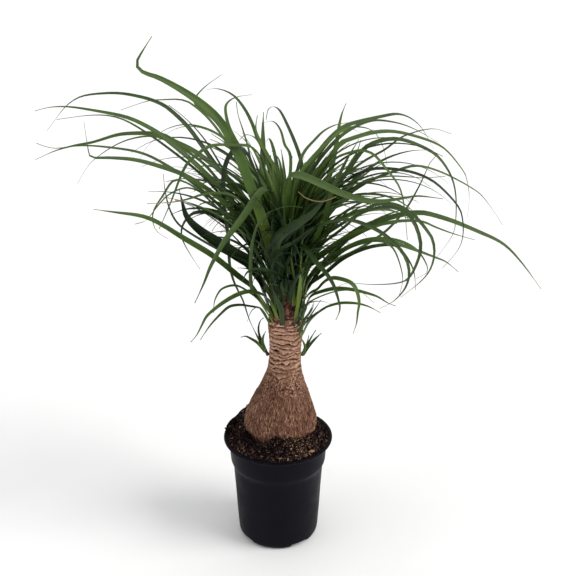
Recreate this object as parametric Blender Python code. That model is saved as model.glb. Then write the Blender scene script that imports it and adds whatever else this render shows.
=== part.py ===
"""Potted ponytail palm in a black nursery pot.

Metres, +Z up. The pot stands on Z = 0 with its axis on the Z axis, and the front of the plant is at -Y.
Pieces: pot, soil, trunk, two side shoots on the neck, and one object for each principal leaf of the crown.
"""

import math
from collections import namedtuple

import bmesh
import bpy
import numpy as np
from mathutils import Vector
from mathutils.bvhtree import BVHTree

MM = 0.001
GAP = 0.35 * MM

# Pot: radius and height of each turn of the wall, in millimetres.
SEGMENTS = 48
POT_FLOOR_LOW = 8.0
POT_FLOOR_TOP = 9.6
POT_PAD_RADIUS = 14.4
POT_FOOT = ((44.4, 0.0), (46.0, 0.0), (48.8, 1.4), (51.2, 5.0), (52.3, 10.0))
POT_BODY = ((54.3, 40.0), (55.7, 68.0), (57.8, 100.0), (58.8, 106.0), (61.2, 111.5), (61.8, 118.0), (62.6, 136.0))
POT_LIP = ((63.4, 139.0), (66.4, 140.9), (69.2, 141.4), (70.0, 142.8), (69.0, 144.2), (66.8, 144.3), (64.4, 143.0))
POT_BORE = ((61.3, 136.0), (60.3, 116.0), (56.6, 104.0), (54.3, 68.0), (51.2, 14.0), (49.8, POT_FLOOR_TOP))
NOTCH_HEIGHT = 6.6
NOTCH_ANGLE = 32.0
NOTCH_TURNS = (35.0, 125.0, 215.0, 305.0)
DRAIN_COUNT = 8
DRAIN_RADIUS = 4.0
DRAIN_CIRCLE = 31.0

# Soil: heights of its top in millimetres, and its heaps against the bulb. A heap has its place round the bulb in
# degrees, its height, its spread in degrees and the share of its height that is left at the pot's wall.
SOIL_AT_WALL = 139.6
SOIL_AT_BULB = 154.5
SOIL_HEAPS = ((132.0, 15.0, 42.0, 0.6), (-80.0, 6.5, 30.0, 0.0))
SOIL_TOP_SHARES = (1.0, 0.94, 0.87, 0.8, 0.73, 0.64, 0.5)

# Trunk: height, radius and sideways place of its middle, in millimetres. It stands STEM_Y behind the pot's axis.
STEM_Y = 10.0
STEM_X = 10.0
TRUNK_SEGMENTS = 36
TRUNK_ROWS = (
    (110.5, 12.0, 2.5),
    (112.5, 19.0, 2.5),
    (117.0, 27.0, 2.6),
    (124.0, 35.0, 2.8),
    (134.0, 41.2, 2.9),
    (146.0, 45.2, 2.9),
    (157.0, 46.3, 3.0),
    (167.0, 45.6, 3.2),
    (176.0, 43.6, 3.4),
    (184.0, 41.0, 3.8),
    (192.0, 37.8, 4.4),
    (200.0, 34.6, 5.4),
    (208.0, 31.0, 6.4),
    (216.0, 27.6, 7.0),
    (224.0, 24.6, 7.6),
    (232.0, 22.4, 8.0),
    (241.0, 20.7, 8.6),
    (252.0, 19.7, 9.1),
    (264.0, 19.6, 9.5),
    (276.0, 20.1, 9.8),
    (287.0, 21.2, 10.0),
    (297.0, 22.0, 10.0),
    (305.0, 21.4, 10.0),
    (318.0, 19.4, 10.0),
    (336.0, 16.6, 10.0),
    (358.0, 12.8, 10.0),
    (380.0, 9.0, 10.0),
    (397.0, 5.6, 10.0),
    (405.0, 2.6, 10.0),
)
BULB_CUT_TOP = 200.0

# Leaves: blade thickness in millimetres, keel depth as a share of the width, how far a side-going blade turns its
# face to the front, the widening at the base, the length over which the face turns, the clearance between blades,
# and how far a base stands off the stem: a length and a share of the blade's width.
BLADE_THICK = 0.9
BLADE_KEEL = 0.16
BLADE_FACE = 36.0
BLADE_UNDERSIDE = (2, 3)  # The lower two sides of a ring, split so that they follow the upper two in a twist.
BASE_FLARES = (0.35, 0.0, -0.35)
FACE_FROM = 60.0
LEAF_CLEAR = 0.45
LEAF_SEAT = 0.7
LEAF_SEAT_SHARE = 0.1
VIEW_X = 12.9
VIEW_Y = -1200.0
VIEW_Z = 894.0
FEWEST_RINGS = 9
MOST_RINGS = 15

Leaf = namedtuple("Leaf", "name heading width base route face")


def leaf(name, heading, width, base, route, face=BLADE_FACE):
    """One blade: name, heading in degrees from +X, width and base height in millimetres, route from base to tip.

    A route point is (x, z), or (x, z, depth), as seen from the front against the upright plane through the stem.
    Without a depth the point lies in the upright plane that the heading gives. Depth is positive behind the stem.
    """
    return Leaf(name, heading, width, base, route, face)


LEAVES = (
    # In front of the stem.
    leaf("leaf_front_01", 330, 13.5, 322, (
        (32, 345, -14), (37, 372, -20), (45, 395, -26), (54, 417, -32), (60, 443, -36), (66, 472, -34), (72, 487, -30),
        (79, 505, -25), (87, 521, -20), (95, 536, -14)), 52),
    leaf("leaf_front_02", 318, 9.0, 316, (
        (28, 334, -22), (29, 348, -28), (30, 385, -38), (31, 411, -44), (33, 440, -48))),
    leaf("leaf_front_03", 242, 10.0, 392, (
        (3, 430, -14), (-3, 458, -22), (-9, 472, -30), (-15, 474, -38), (-22, 468, -46), (-32, 452, -62),
        (-44, 434, -84), (-57, 417, -106), (-66, 404, -122), (-75, 387, -138), (-84, 369, -150), (-92, 348, -160),
        (-102, 327, -168))),
    leaf("leaf_front_04", 350, 17.0, 344, (
        (0, 385, -36), (-6, 400, -50), (2, 418, -60), (20, 431, -66), (38, 443, -70), (52, 458, -70),
        (62, 474, -68)), 58),
    leaf("leaf_front_05", 292, 5.0, 314, (
        (-22, 330, -24), (-31, 346, -42), (-32, 378, -58), (-30, 404, -70), (-25, 424, -80), (-18, 439, -90),
        (-3, 449, -104), (15, 454, -118), (30, 452, -130))),
    leaf("leaf_front_06", 255, 7.5, 309, (
        (5, 309, -26), (3, 321, -32), (-3, 335, -38), (-7, 350, -42))),
    leaf("leaf_front_07", 238, 9.0, 340, (
        (18, 352, -26), (3, 362, -46), (-9, 368, -58), (-27, 372, -76), (-37, 368, -86), (-43, 357, -94)), 80),
    # Left side, from the top down.
    leaf("leaf_left_01", 145, 13.5, 352, (
        (-3, 382, -26), (-13, 411, -34), (-19, 436, -40), (-27, 462, -44), (-36, 487, -46), (-43, 511, -47),
        (-52, 530, -48), (-63, 552, -49), (-78, 570, -50), (-98, 586, -52), (-115, 597, -54), (-131, 606, -56),
        (-148, 612, -58), (-156, 619, -58), (-156, 627, -57), (-149, 638, -54), (-138, 654, -50)), 48),
    leaf("leaf_left_02", 141, 5.5, 390, (
        (-20, 455), (-40, 493), (-47, 517), (-56, 535), (-68, 554), (-80, 566), (-94, 578), (-91, 587), (-83, 596),
        (-62, 611))),
    leaf("leaf_left_03", 162, 7.0, 370, (
        (-30, 442), (-66, 496), (-81, 517), (-92, 535), (-105, 553), (-116, 564), (-127, 574), (-144, 582),
        (-161, 586), (-177, 589), (-195, 589), (-209, 588), (-223, 585), (-238, 576), (-251, 562), (-264, 546))),
    leaf("leaf_left_04", 183, 9.0, 356, (
        (-32, 425), (-67, 474), (-84, 493), (-101, 511), (-118, 525), (-135, 541), (-146, 548), (-162, 557),
        (-179, 563), (-196, 567), (-213, 570), (-230, 573), (-245, 574), (-261, 573), (-276, 569))),
    leaf("leaf_left_05", 174, 8.5, 362, (
        (-30, 440), (-66, 496), (-84, 511), (-100, 523), (-118, 532), (-132, 540), (-146, 542), (-163, 542),
        (-180, 541), (-198, 536), (-215, 531), (-239, 527), (-253, 523), (-269, 517), (-281, 511))),
    leaf("leaf_left_06", 197, 6.0, 350, (
        (-35, 410), (-70, 455), (-102, 484), (-116, 495), (-131, 505), (-148, 515), (-165, 521), (-182, 524),
        (-205, 527), (-228, 528), (-251, 525), (-265, 526), (-278, 531))),
    leaf("leaf_left_07", 205, 10.5, 342, (
        (-28, 400), (-62, 455), (-80, 471), (-96, 483), (-113, 493), (-131, 500), (-148, 505), (-165, 510),
        (-182, 512), (-200, 513), (-213, 513), (-218, 516), (-219, 523), (-220, 541), (-221, 556))),
    leaf("leaf_left_08", 158, 4.5, 366, (
        (-40, 440), (-80, 500), (-110, 525), (-137, 538), (-146, 539), (-164, 537), (-179, 532), (-191, 526),
        (-203, 518), (-215, 509), (-225, 497), (-234, 482))),
    leaf("leaf_left_09", 224, 7.0, 378, (
        (-6, 440), (-13, 485), (-20, 515), (-31, 526), (-45, 528), (-57, 528), (-72, 528), (-83, 524), (-95, 515),
        (-105, 505), (-114, 487), (-124, 462), (-133, 443), (-141, 425))),
    leaf("leaf_left_10", 208, 5.0, 350, (
        (-40, 415), (-80, 460), (-102, 480), (-119, 486), (-128, 478), (-137, 462), (-146, 449), (-148, 434),
        (-143, 421), (-131, 413))),
    leaf("leaf_left_11", 214, 4.5, 346, (
        (-45, 425), (-80, 464), (-102, 476), (-114, 475), (-129, 467), (-138, 458), (-149, 444), (-157, 435),
        (-170, 431))),
    leaf("leaf_left_12", 214, 5.5, 326, (
        (-22, 420), (-42, 458), (-56, 468), (-73, 470), (-88, 468), (-103, 463), (-121, 459), (-138, 458),
        (-154, 457))),
    leaf("leaf_left_13", 192, 17.0, 336, (
        (-33, 378), (-51, 391), (-69, 404), (-87, 417), (-101, 430), (-109, 442), (-112, 455), (-115, 474)), 62),
    leaf("leaf_left_14", 181, 6.5, 346, (
        (-38, 410), (-60, 430), (-72, 438), (-82, 445), (-95, 446), (-104, 441), (-111, 432), (-114, 422),
        (-113, 411), (-107, 397), (-101, 385), (-94, 373))),
    leaf("leaf_left_15", 208, 13.0, 322, (
        (-27, 342), (-40, 354), (-58, 369), (-75, 385), (-87, 394), (-105, 406), (-122, 417), (-140, 430),
        (-155, 438), (-169, 442), (-187, 445), (-204, 447), (-218, 450))),
    leaf("leaf_left_16", 203, 7.5, 386, (
        (-12, 450), (-24, 490), (-34, 515), (-43, 526), (-52, 519), (-59, 505), (-62, 486), (-62, 462), (-59, 430),
        (-57, 398), (-57, 378), (-53, 358), (-48, 347), (-42, 331), (-37, 316), (-34, 302), (-29, 290), (-23, 276))),
    leaf("leaf_left_17", 220, 5.5, 318, (
        (-24, 331), (-34, 340), (-42, 346), (-50, 350), (-58, 350), (-68, 346), (-74, 338), (-78, 327), (-79, 314))),
    leaf("leaf_left_18", 226, 7.5, 316, (
        (-13, 333), (-28, 341), (-40, 341), (-58, 333), (-77, 319), (-89, 307), (-97, 290), (-103, 280), (-109, 273))),
    leaf("leaf_left_19", 200, 5.0, 306, (
        (-19, 318), (-34, 322), (-46, 324), (-59, 322), (-71, 311), (-84, 296), (-97, 276))),
    # Behind the stem.
    leaf("leaf_back_01", 126, 5.5, 392, (
        (-3, 470, 35), (-16, 523, 75), (-22, 535, 88), (-28, 553, 108), (-36, 570, 132), (-47, 585, 160),
        (-58, 592, 185), (-70, 595, 210), (-81, 593, 235))),
    leaf("leaf_back_02", 117, 6.0, 386, (
        (-20, 470, 45), (-36, 511, 80), (-45, 529, 100), (-54, 547, 122), (-58, 564, 145), (-58, 575, 165),
        (-52, 582, 185), (-42, 586, 205), (-28, 588, 225))),
    leaf("leaf_back_03", 98, 9.5, 396, (
        (2, 430, 8), (-8, 455, 22), (-14, 474, 38), (-17, 493, 58), (-16, 523, 92), (-16, 547, 124),
        (-15, 568, 150))),
    leaf("leaf_back_04", 96, 5.0, 398, (
        (10, 440, 24), (22, 470, 42), (29, 501, 58), (24, 523, 78), (17, 541, 100), (9, 559, 130), (3, 570, 155),
        (-4, 574, 180), (-10, 570, 205), (-12, 559, 225))),
    leaf("leaf_back_05", 66, 8.0, 394, (
        (16, 428, 22), (32, 452, 40), (48, 470, 56), (60, 487, 70), (65, 507, 88), (69, 529, 112), (71, 547, 132),
        (74, 564, 155), (79, 578, 180))),
    # Right side, from the top down.
    leaf("leaf_right_01", 40, 8.0, 380, (
        (22, 450), (31, 497), (48, 517), (61, 535), (78, 550), (95, 556), (109, 559), (124, 563), (135, 565),
        (147, 563), (158, 557), (167, 548), (174, 537), (182, 523))),
    leaf("leaf_right_02", 33, 6.0, 374, (
        (26, 455), (40, 495), (58, 522), (80, 544), (107, 557), (124, 557), (141, 554), (155, 549), (171, 541),
        (186, 532))),
    leaf("leaf_right_03", 52, 5.5, 386, (
        (20, 470), (27, 493), (38, 509), (50, 523), (67, 540), (84, 549), (93, 550), (105, 548), (113, 543),
        (119, 534), (124, 523), (128, 505))),
    leaf("leaf_right_04", 25, 7.5, 368, (
        (34, 450), (50, 490), (62, 513), (73, 529), (87, 536), (102, 541), (119, 544), (136, 544), (154, 540),
        (175, 534), (195, 523), (209, 507), (220, 493), (225, 474), (227, 462), (226, 439))),
    leaf("leaf_right_05", 11, 7.5, 362, (
        (40, 430), (65, 470), (85, 499), (99, 521), (113, 531), (128, 535), (142, 535), (156, 531), (172, 524),
        (186, 515), (196, 502), (204, 489), (210, 468), (212, 443), (211, 421), (203, 404), (193, 389))),
    leaf("leaf_right_06", 352, 5.5, 350, (
        (38, 420), (60, 462), (78, 482), (91, 491), (106, 498), (123, 500), (138, 499), (156, 496), (173, 490),
        (189, 480), (202, 467), (215, 452), (221, 434), (222, 413), (216, 395), (200, 374))),
    leaf("leaf_right_07", 18, 5.0, 356, (
        (60, 440), (100, 480), (144, 499), (157, 503), (173, 502), (191, 496), (205, 490), (221, 480), (233, 474),
        (246, 462), (258, 445), (269, 430))),
    leaf("leaf_right_08", 318, 11.5, 380, (
        (9, 450, -14), (11, 478, -24), (15, 489, -32), (25, 491, -44), (39, 486, -60), (56, 478, -78), (74, 469, -96),
        (92, 463, -113), (110, 459, -129), (128, 459, -144), (145, 462, -157), (163, 466, -169), (180, 465, -180),
        (196, 463, -190))),
    leaf("leaf_right_09", 334, 5.5, 362, (
        (33, 450), (55, 495), (70, 513), (85, 519), (99, 522), (112, 517), (120, 509), (130, 496), (139, 485),
        (145, 474), (150, 455), (153, 434), (156, 411))),
    leaf("leaf_right_10", 357, 9.0, 338, (
        (40, 375), (64, 398), (81, 411), (99, 424), (122, 434), (140, 440), (158, 444), (176, 444), (194, 439),
        (212, 433), (231, 425), (249, 417), (264, 410), (280, 398), (294, 383), (308, 366), (323, 346))),
    leaf("leaf_right_11", 6, 6.5, 346, (
        (45, 385), (80, 408), (110, 425), (135, 433), (162, 435), (176, 433), (191, 426), (207, 420), (223, 415),
        (237, 411))),
    leaf("leaf_right_12", 351, 8.0, 334, (
        (38, 360), (64, 382), (82, 398), (99, 406), (118, 410), (136, 407), (154, 402), (172, 395), (188, 389),
        (203, 383), (213, 375), (220, 369))),
    leaf("leaf_right_13", 329, 6.5, 352, (
        (35, 385), (55, 405), (75, 421), (93, 438), (110, 452), (124, 456), (140, 455), (152, 449), (164, 440),
        (176, 426), (186, 411), (189, 391), (185, 372), (174, 356), (162, 345), (151, 335))),
    leaf("leaf_right_14", 322, 6.0, 358, (
        (35, 395), (60, 417), (90, 438), (110, 448), (128, 452), (146, 449), (158, 440), (167, 424), (172, 404),
        (170, 387), (165, 372), (159, 361), (150, 356), (132, 353), (107, 353), (91, 354), (80, 354), (73, 349))),
    leaf("leaf_right_15", 316, 6.5, 364, (
        (28, 405), (45, 425), (63, 433), (81, 436), (93, 434), (111, 427), (123, 421), (135, 411), (148, 398),
        (157, 382), (160, 365), (156, 348), (147, 335), (139, 327), (126, 320))),
    leaf("leaf_right_16", 347, 7.0, 332, (
        (42, 366), (70, 391), (93, 405), (111, 411), (129, 412), (147, 409), (162, 402), (172, 393), (181, 378),
        (182, 369), (169, 360))),
    leaf("leaf_right_17", 353, 7.0, 328, (
        (38, 348), (62, 369), (76, 383), (94, 394), (112, 401), (130, 404), (142, 403), (154, 391), (164, 374),
        (168, 358), (169, 345))),
    leaf("leaf_right_18", 304, 7.5, 372, (
        (18, 392), (27, 402), (36, 397), (46, 382), (58, 368), (68, 352), (74, 334), (77, 320), (72, 304))),
    leaf("leaf_right_19", 326, 7.5, 326, (
        (36, 336), (50, 345), (57, 354), (64, 359), (71, 360), (80, 358), (88, 355), (94, 349), (98, 339), (100, 328),
        (99, 320), (98, 301), (94, 285))),
    leaf("leaf_right_20", 340, 7.0, 316, (
        (40, 334), (55, 342), (71, 346), (89, 345), (107, 341), (124, 335), (136, 327), (146, 323))),
    leaf("leaf_right_21", 352, 5.5, 304, (
        (46, 311), (59, 320), (75, 326), (89, 327), (104, 325), (117, 320), (127, 314))),
    leaf("leaf_right_22", 345, 11.0, 288, (
        (39, 300), (48, 311), (60, 320))),
)

# Side shoots: stalk from and to, radius at each end, and the blades, as (x, y, z) in millimetres.
STALK_SIDES = 8
SHOOT_LEFT_STALK = ((-12.9, 10.0, 256.5), (-19.5, 9.0, 269.0), 2.2, 1.5)
SHOOT_LEFT_BLADES = (
    (5.2, ((-16.5, 9, 264), (-25, 6, 274), (-33, 4, 281), (-40, 3, 285), (-46, 2, 284))),
    (3.8, ((-17.5, 10, 266), (-25, 14, 278), (-31, 17, 290))),
    (4.8, ((-17.0, 8, 265), (-18.6, 3, 276), (-17.8, 0, 286), (-14.5, -3, 295))),
    (3.4, ((-17.5, 11, 266), (-23, 16, 280), (-24, 19, 290), (-21.5, 21, 298), (-17, 23, 301))),
)
SHOOT_RIGHT_STALK = ((31.4, 9.6, 256.5), (34.0, 8.0, 264.0), 2.1, 1.5)
SHOOT_RIGHT_BLADES = (
    (5.6, ((32.5, 8, 261), (38.5, 6, 269), (46, 4, 280), (54.5, 2, 290))),
    (4.6, ((32.8, 7, 261), (34.0, 0, 271), (32.5, -5, 283))),
    (3.2, ((33.0, 9, 261), (37, 12, 271), (39, 14, 281))),
    (3.2, ((33.0, 9, 261), (41, 15, 275), (48, 19, 286))),
)

# How a blade that would touch a neighbour is moved: turned about the stem in degrees, shifted along it and swept
# back in millimetres. The costs weigh a shift and a sweep against a degree of turn.
TURNS = (0, 2, -2, 4, -4, 6, -6, 9, -9, 12, -12, 15, -15, 18, -18, 22, -22)
SHIFTS = (0, 5, -5, 10, -10, 15, -15, 20)
SWEEPS = (0, 12, -12, 24, -24)
SHIFT_COST = 0.7
SWEEP_COST = 0.3
DEPTH_PER_TURN = 0.035
BASE_TURN_SHARE = 1.6


def clear_scene():
    for old in list(bpy.data.objects):
        bpy.data.objects.remove(old, do_unlink=True)


def make_material(name, colour, roughness):
    material = bpy.data.materials.new(name)
    material.use_nodes = True
    shader = material.node_tree.nodes["Principled BSDF"]
    shader.inputs["Base Color"].default_value = (*colour, 1.0)
    shader.inputs["Roughness"].default_value = roughness
    shader.inputs["Metallic"].default_value = 0.0
    material.diffuse_color = (*colour, 1.0)
    return material


def add_object(name, points, faces, material):
    """A mesh object from points in millimetres, with its faces turned outwards."""
    mesh = bpy.data.meshes.new(name)
    mesh.from_pydata([tuple(c * MM for c in point) for point in points], [], faces)
    shape = bmesh.new()
    shape.from_mesh(mesh)
    bmesh.ops.recalc_face_normals(shape, faces=shape.faces[:])
    shape.to_mesh(mesh)
    shape.free()
    mesh.materials.append(material)
    made = bpy.data.objects.new(name, mesh)
    bpy.context.scene.collection.objects.link(made)
    return made


def closed_loft(rings, tip=None, turned=()):
    """Points and faces of a closed skin over rings of equal size, with a flat start and a flat or pointed end.

    The sides whose numbers are in turned are split along their other diagonal.
    """
    count = len(rings[0])
    points = [tuple(point) for ring in rings for point in ring]
    faces = [tuple(range(count))]
    for row in range(len(rings) - 1):
        low = row * count
        for i in range(count):
            j = (i + 1) % count
            a, b, c, d = low + i, low + j, low + count + j, low + count + i
            faces += [(a, b, d), (b, c, d)] if i in turned else [(a, b, c), (a, c, d)]
    last = (len(rings) - 1) * count
    if tip is None:
        faces.append(tuple(range(last, last + count)))
    else:
        points.append(tuple(tip))
        faces += [(last + i, last + (i + 1) % count, len(points) - 1) for i in range(count)]
    return points, faces


def ring_at(radius, z, x=0.0, y=0.0, segments=SEGMENTS):
    steps = [2.0 * math.pi * i / segments for i in range(segments)]
    return [(x + radius * math.cos(a), y + radius * math.sin(a), z) for a in steps]


def add_cut(target, cutter, operation="DIFFERENCE"):
    cutter.hide_render = True
    cutter.display_type = "WIRE"
    change = target.modifiers.new("cut", "BOOLEAN")
    change.operation = operation
    change.solver = "EXACT"
    change.object = cutter


def add_pot(material):
    under = ((POT_PAD_RADIUS, 0.0), (POT_PAD_RADIUS + 0.8, POT_FLOOR_LOW), (50.0, POT_FLOOR_LOW))
    profile = under + POT_FOOT + POT_BODY + POT_LIP + POT_BORE
    pot = add_object("pot", *closed_loft([ring_at(r, z) for r, z in profile]), material)
    for index, turn in enumerate(NOTCH_TURNS):
        add_cut(pot, notch_cutter(index, turn, material))
    for index in range(DRAIN_COUNT):
        turn = 2.0 * math.pi * (index + 0.5) / DRAIN_COUNT
        x = DRAIN_CIRCLE * math.cos(turn)
        y = DRAIN_CIRCLE * math.sin(turn)
        low = ring_at(DRAIN_RADIUS, POT_FLOOR_LOW - 3.0, x, y, 10)
        high = ring_at(DRAIN_RADIUS, POT_FLOOR_TOP + 3.0, x, y, 10)
        add_cut(pot, add_object(f"drain_cutter_{index}", *closed_loft([low, high]), material))
    return pot


def notch_cutter(index, turn, material):
    """A wedge that opens the foot ring from inside to outside, with slanting ends."""
    rings = []
    for z, half in ((-2.0, NOTCH_ANGLE / 2.0 + 1.5), (NOTCH_HEIGHT, NOTCH_ANGLE / 2.0 - 2.0)):
        angles = [math.radians(turn + half * share) for share in (-1.0, -0.33, 0.33, 1.0)]
        inner = [(41.0 * math.cos(a), 41.0 * math.sin(a), z) for a in angles]
        outer = [(60.0 * math.cos(a), 60.0 * math.sin(a), z) for a in reversed(angles)]
        rings.append(inner + outer)
    return add_object(f"notch_cutter_{index}", *closed_loft(rings), material)


def trunk_rings(extra=0.0, top=1000.0):
    rings = []
    for z, radius, x in TRUNK_ROWS:
        if z > top:
            break
        level = z - extra if not rings else z
        rings.append(ring_at(radius + extra, level, x, STEM_Y, TRUNK_SEGMENTS))
    return rings


def stem_radius(z):
    """Radius of the trunk at a height."""
    return float(np.interp(z, [row[0] for row in TRUNK_ROWS], [row[1] for row in TRUNK_ROWS]))


def soil_height(x, y):
    """Height of the soil's top: low at the pot's wall and heaped against the bulb."""
    bulb_x = TRUNK_ROWS[6][2]
    bulb_radius = TRUNK_ROWS[6][1]
    away = math.hypot(x - bulb_x, y - STEM_Y)
    room = max(POT_BORE[0][0] - math.hypot(x, y), 0.0)
    share = room / max(room + max(away - bulb_radius, 0.0), 1.0)
    rise = min(share, 1.0) ** 0.85
    turn = math.degrees(math.atan2(y - STEM_Y, x - bulb_x))
    top = SOIL_AT_WALL + (SOIL_AT_BULB - SOIL_AT_WALL) * rise
    for way, height, spread, at_wall in SOIL_HEAPS:
        off = (turn - way + 180.0) % 360.0 - 180.0
        top += height * math.exp(-((off / spread) ** 2)) * (at_wall + (1.0 - at_wall) * rise)
    lumps = 0.8 * math.sin(x * 0.31 + 1.3) * math.sin(y * 0.27 + 0.4)
    return top + lumps * min(1.0, room / 4.0)


def add_soil(material):
    gap = GAP / MM
    wall = [(r - gap, z) for r, z in reversed(POT_BORE)]
    rings = [ring_at(wall[0][0], wall[0][1] + gap)]
    rings += [ring_at(r, z) for r, z in wall[1:]]
    top_radius = wall[-1][0]
    for share in SOIL_TOP_SHARES:
        flat = ring_at(top_radius * share, 0.0)
        rings.append([(x, y, soil_height(x, y)) for x, y, _ in flat])
    soil = add_object("soil", *closed_loft(rings), material)
    cutter = add_object("bulb_cutter", *closed_loft(trunk_rings(gap, BULB_CUT_TOP)), material)
    add_cut(soil, cutter)
    return soil


def route_point(entry, turn, heading, sweep=0.0):
    """The place in space of a route entry, in millimetres. Sweep moves it straight back, away from the front."""
    eye = np.array((VIEW_X, VIEW_Y, VIEW_Z))
    seen = np.array((entry[0], STEM_Y, entry[1]), float)
    if len(entry) == 3:
        depth = entry[2] * (1.0 + turn * DEPTH_PER_TURN)
        reach = (STEM_Y + depth - VIEW_Y) / (STEM_Y - VIEW_Y)
    else:
        angle = math.radians(heading + turn)
        across = np.array((-math.sin(angle), math.cos(angle), 0.0))
        stem = np.array((STEM_X, STEM_Y, entry[1]), float)
        reach = across.dot(stem - eye) / across.dot(seen - eye)
    reach += sweep / (STEM_Y - VIEW_Y)
    return eye + (seen - eye) * reach


def route_knots(spec, turn, shift, sweep):
    """The base and the route of a blade, in space. The sweep grows towards the tip."""
    last = len(spec.route)
    knots = [base_point(spec, turn, shift)]
    for index, entry in enumerate(spec.route):
        knots.append(route_point(entry, turn, spec.heading, sweep * ((index + 1) / last) ** 1.5))
    return knots


def smooth_line(knots, steps=12):
    """A centripetal spline through the knots, as many closely spaced points."""
    knots = [np.asarray(knot, float) for knot in knots]
    ends = [2.0 * knots[0] - knots[1]] + knots + [2.0 * knots[-1] - knots[-2]]
    line = []
    for a, b, c, d in zip(ends, ends[1:], ends[2:], ends[3:]):
        t1 = np.linalg.norm(b - a) ** 0.5
        t2 = t1 + np.linalg.norm(c - b) ** 0.5
        t3 = t2 + np.linalg.norm(d - c) ** 0.5
        for step in range(steps):
            t = t1 + (t2 - t1) * step / steps
            ab = a + (b - a) * (t / t1)
            bc = b + (c - b) * ((t - t1) / (t2 - t1))
            cd = c + (d - c) * ((t - t2) / (t3 - t2))
            abc = ab + (bc - ab) * (t / t2)
            bcd = bc + (cd - bc) * ((t - t1) / (t3 - t1))
            line.append(abc + (bcd - abc) * ((t - t1) / (t2 - t1)))
    line.append(knots[-1])
    line = np.array(line)
    for _ in range(6):
        line[1:-1] = 0.5 * line[1:-1] + 0.25 * (line[:-2] + line[2:])
    return line


def ring_places(line):
    """Indexes of the line's points that carry a ring: closer together where the blade bends."""
    pieces = np.diff(line, axis=0)
    lengths = np.linalg.norm(pieces, axis=1)
    ways = pieces / lengths[:, None]
    bends = np.degrees(np.arccos(np.clip((ways[1:] * ways[:-1]).sum(axis=1), -1.0, 1.0)))
    bends = np.concatenate(((0.0,), bends))
    count = int(round(4.0 + lengths.sum() / 60.0 + bends.sum() / 28.0))
    count = max(FEWEST_RINGS, min(MOST_RINGS, count))
    measure = 0.6 * lengths / lengths.sum() + 0.4 * bends / max(bends.sum(), 20.0)
    measure = np.concatenate(((0.0,), np.cumsum(measure)))
    wanted = np.linspace(0.0, measure[-1], count + 1)
    return sorted(set(int(np.abs(measure - value).argmin()) for value in wanted))


def blade(line, width, heading, face, flare=BASE_FLARES[0], grow=0.0):
    """Points and faces of a keeled blade along the line. Grow widens and thickens it, for a clearance test."""
    places = ring_places(line)
    lengths = np.concatenate(((0.0,), np.cumsum(np.linalg.norm(np.diff(line, axis=0), axis=1))))
    total = lengths[-1]
    lengths /= total
    angle = math.radians(heading)
    away = Vector((-math.sin(angle), math.cos(angle), 0.0))
    if away.y < 0.0:
        away.negate()
    lean = math.cos(angle)
    round_stem = Vector((STEM_Y - line[0][1], line[0][0] - STEM_X, 0.0)).normalized()
    if round_stem.dot(away) < 0.0:
        round_stem.negate()
    eye = Vector((VIEW_X, VIEW_Y, VIEW_Z))
    frames = []
    for place in places[:-1]:
        here = Vector(line[place])
        way = Vector(line[min(place + 2, len(line) - 1)] - line[max(place - 2, 0)]).normalized()
        across = (here - eye).normalized().cross(way)
        if lean > 0.0:
            across.negate()
        freed = min(1.0, (lengths[place] * total / FACE_FROM) ** 2)
        turned = math.radians(face * abs(lean)) * freed
        side = round_stem.lerp(away, freed) * math.cos(turned) + across.normalized() * math.sin(turned)
        side = (side - way * side.dot(way)).normalized()
        frames.append((here, side, side.cross(way).normalized(), lengths[place]))
    upward = 1.0 if sum(up.z for _, _, up, _ in frames) > 0.0 else -1.0
    rings = []
    for here, side, up, share in frames:
        up = up * upward
        spread = (1.0 + flare * math.exp(-share / 0.06)) * (1.0 - share**3.2)
        half = 0.5 * width * spread + 0.5 * grow
        thick = 0.5 * BLADE_THICK * (1.0 - 0.4 * share) + 0.5 * grow
        raised = up * (BLADE_KEEL * width * spread)
        left = here - side * half + raised
        right = here + side * half + raised
        rings.append((left, here + up * thick, right, here - up * thick))
    return closed_loft(rings, Vector(line[-1]), BLADE_UNDERSIDE)


def base_point(spec, turn, shift):
    """Where the blade meets the stem, just clear of it."""
    z = spec.base + shift
    if len(spec.route[0]) == 3:
        ahead = route_point(spec.route[0], 0.0, spec.heading)
        angle = math.atan2(ahead[1] - STEM_Y, ahead[0] - STEM_X) + math.radians(turn * BASE_TURN_SHARE)
    else:
        angle = math.radians(spec.heading + turn)
    radius = stem_radius(z) + LEAF_SEAT + LEAF_SEAT_SHARE * spec.width
    return np.array((STEM_X + radius * math.cos(angle), STEM_Y + radius * math.sin(angle), z))


def tree_of(mesh):
    return BVHTree.FromPolygons([Vector(point) for point in mesh[0]], mesh[1])


def touches(mesh, trees):
    tree = tree_of(mesh)
    return any(tree.overlap(other) for other in trees)


def placed_blade(spec, choices, stem_trees, leaf_trees):
    """The blade at the nearest place to its own where it clears the stem, the shoots and the blades before it."""
    for turn, shift, sweep, flare in choices:
        line = smooth_line(route_knots(spec, turn, shift, sweep))
        made = blade(line, spec.width, spec.heading, spec.face, flare)
        wider = blade(line, spec.width, spec.heading, spec.face, flare, LEAF_CLEAR)
        if not touches(made, stem_trees) and not touches(wider, leaf_trees):
            return made
    raise ValueError(f"{spec.name} finds no room")


def add_leaves(material, stem_trees):
    choices = [(turn, shift, sweep) for turn in TURNS for shift in SHIFTS for sweep in SWEEPS]
    choices.sort(key=lambda c: abs(c[0]) + SHIFT_COST * abs(c[1]) + SWEEP_COST * abs(c[2]))
    choices = [(*choice, flare) for flare in BASE_FLARES for choice in choices]
    leaf_trees = []
    for spec in LEAVES:
        made = placed_blade(spec, choices, stem_trees, leaf_trees)
        leaf_trees.append(tree_of(made))
        add_object(spec.name, *made, material)


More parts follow.
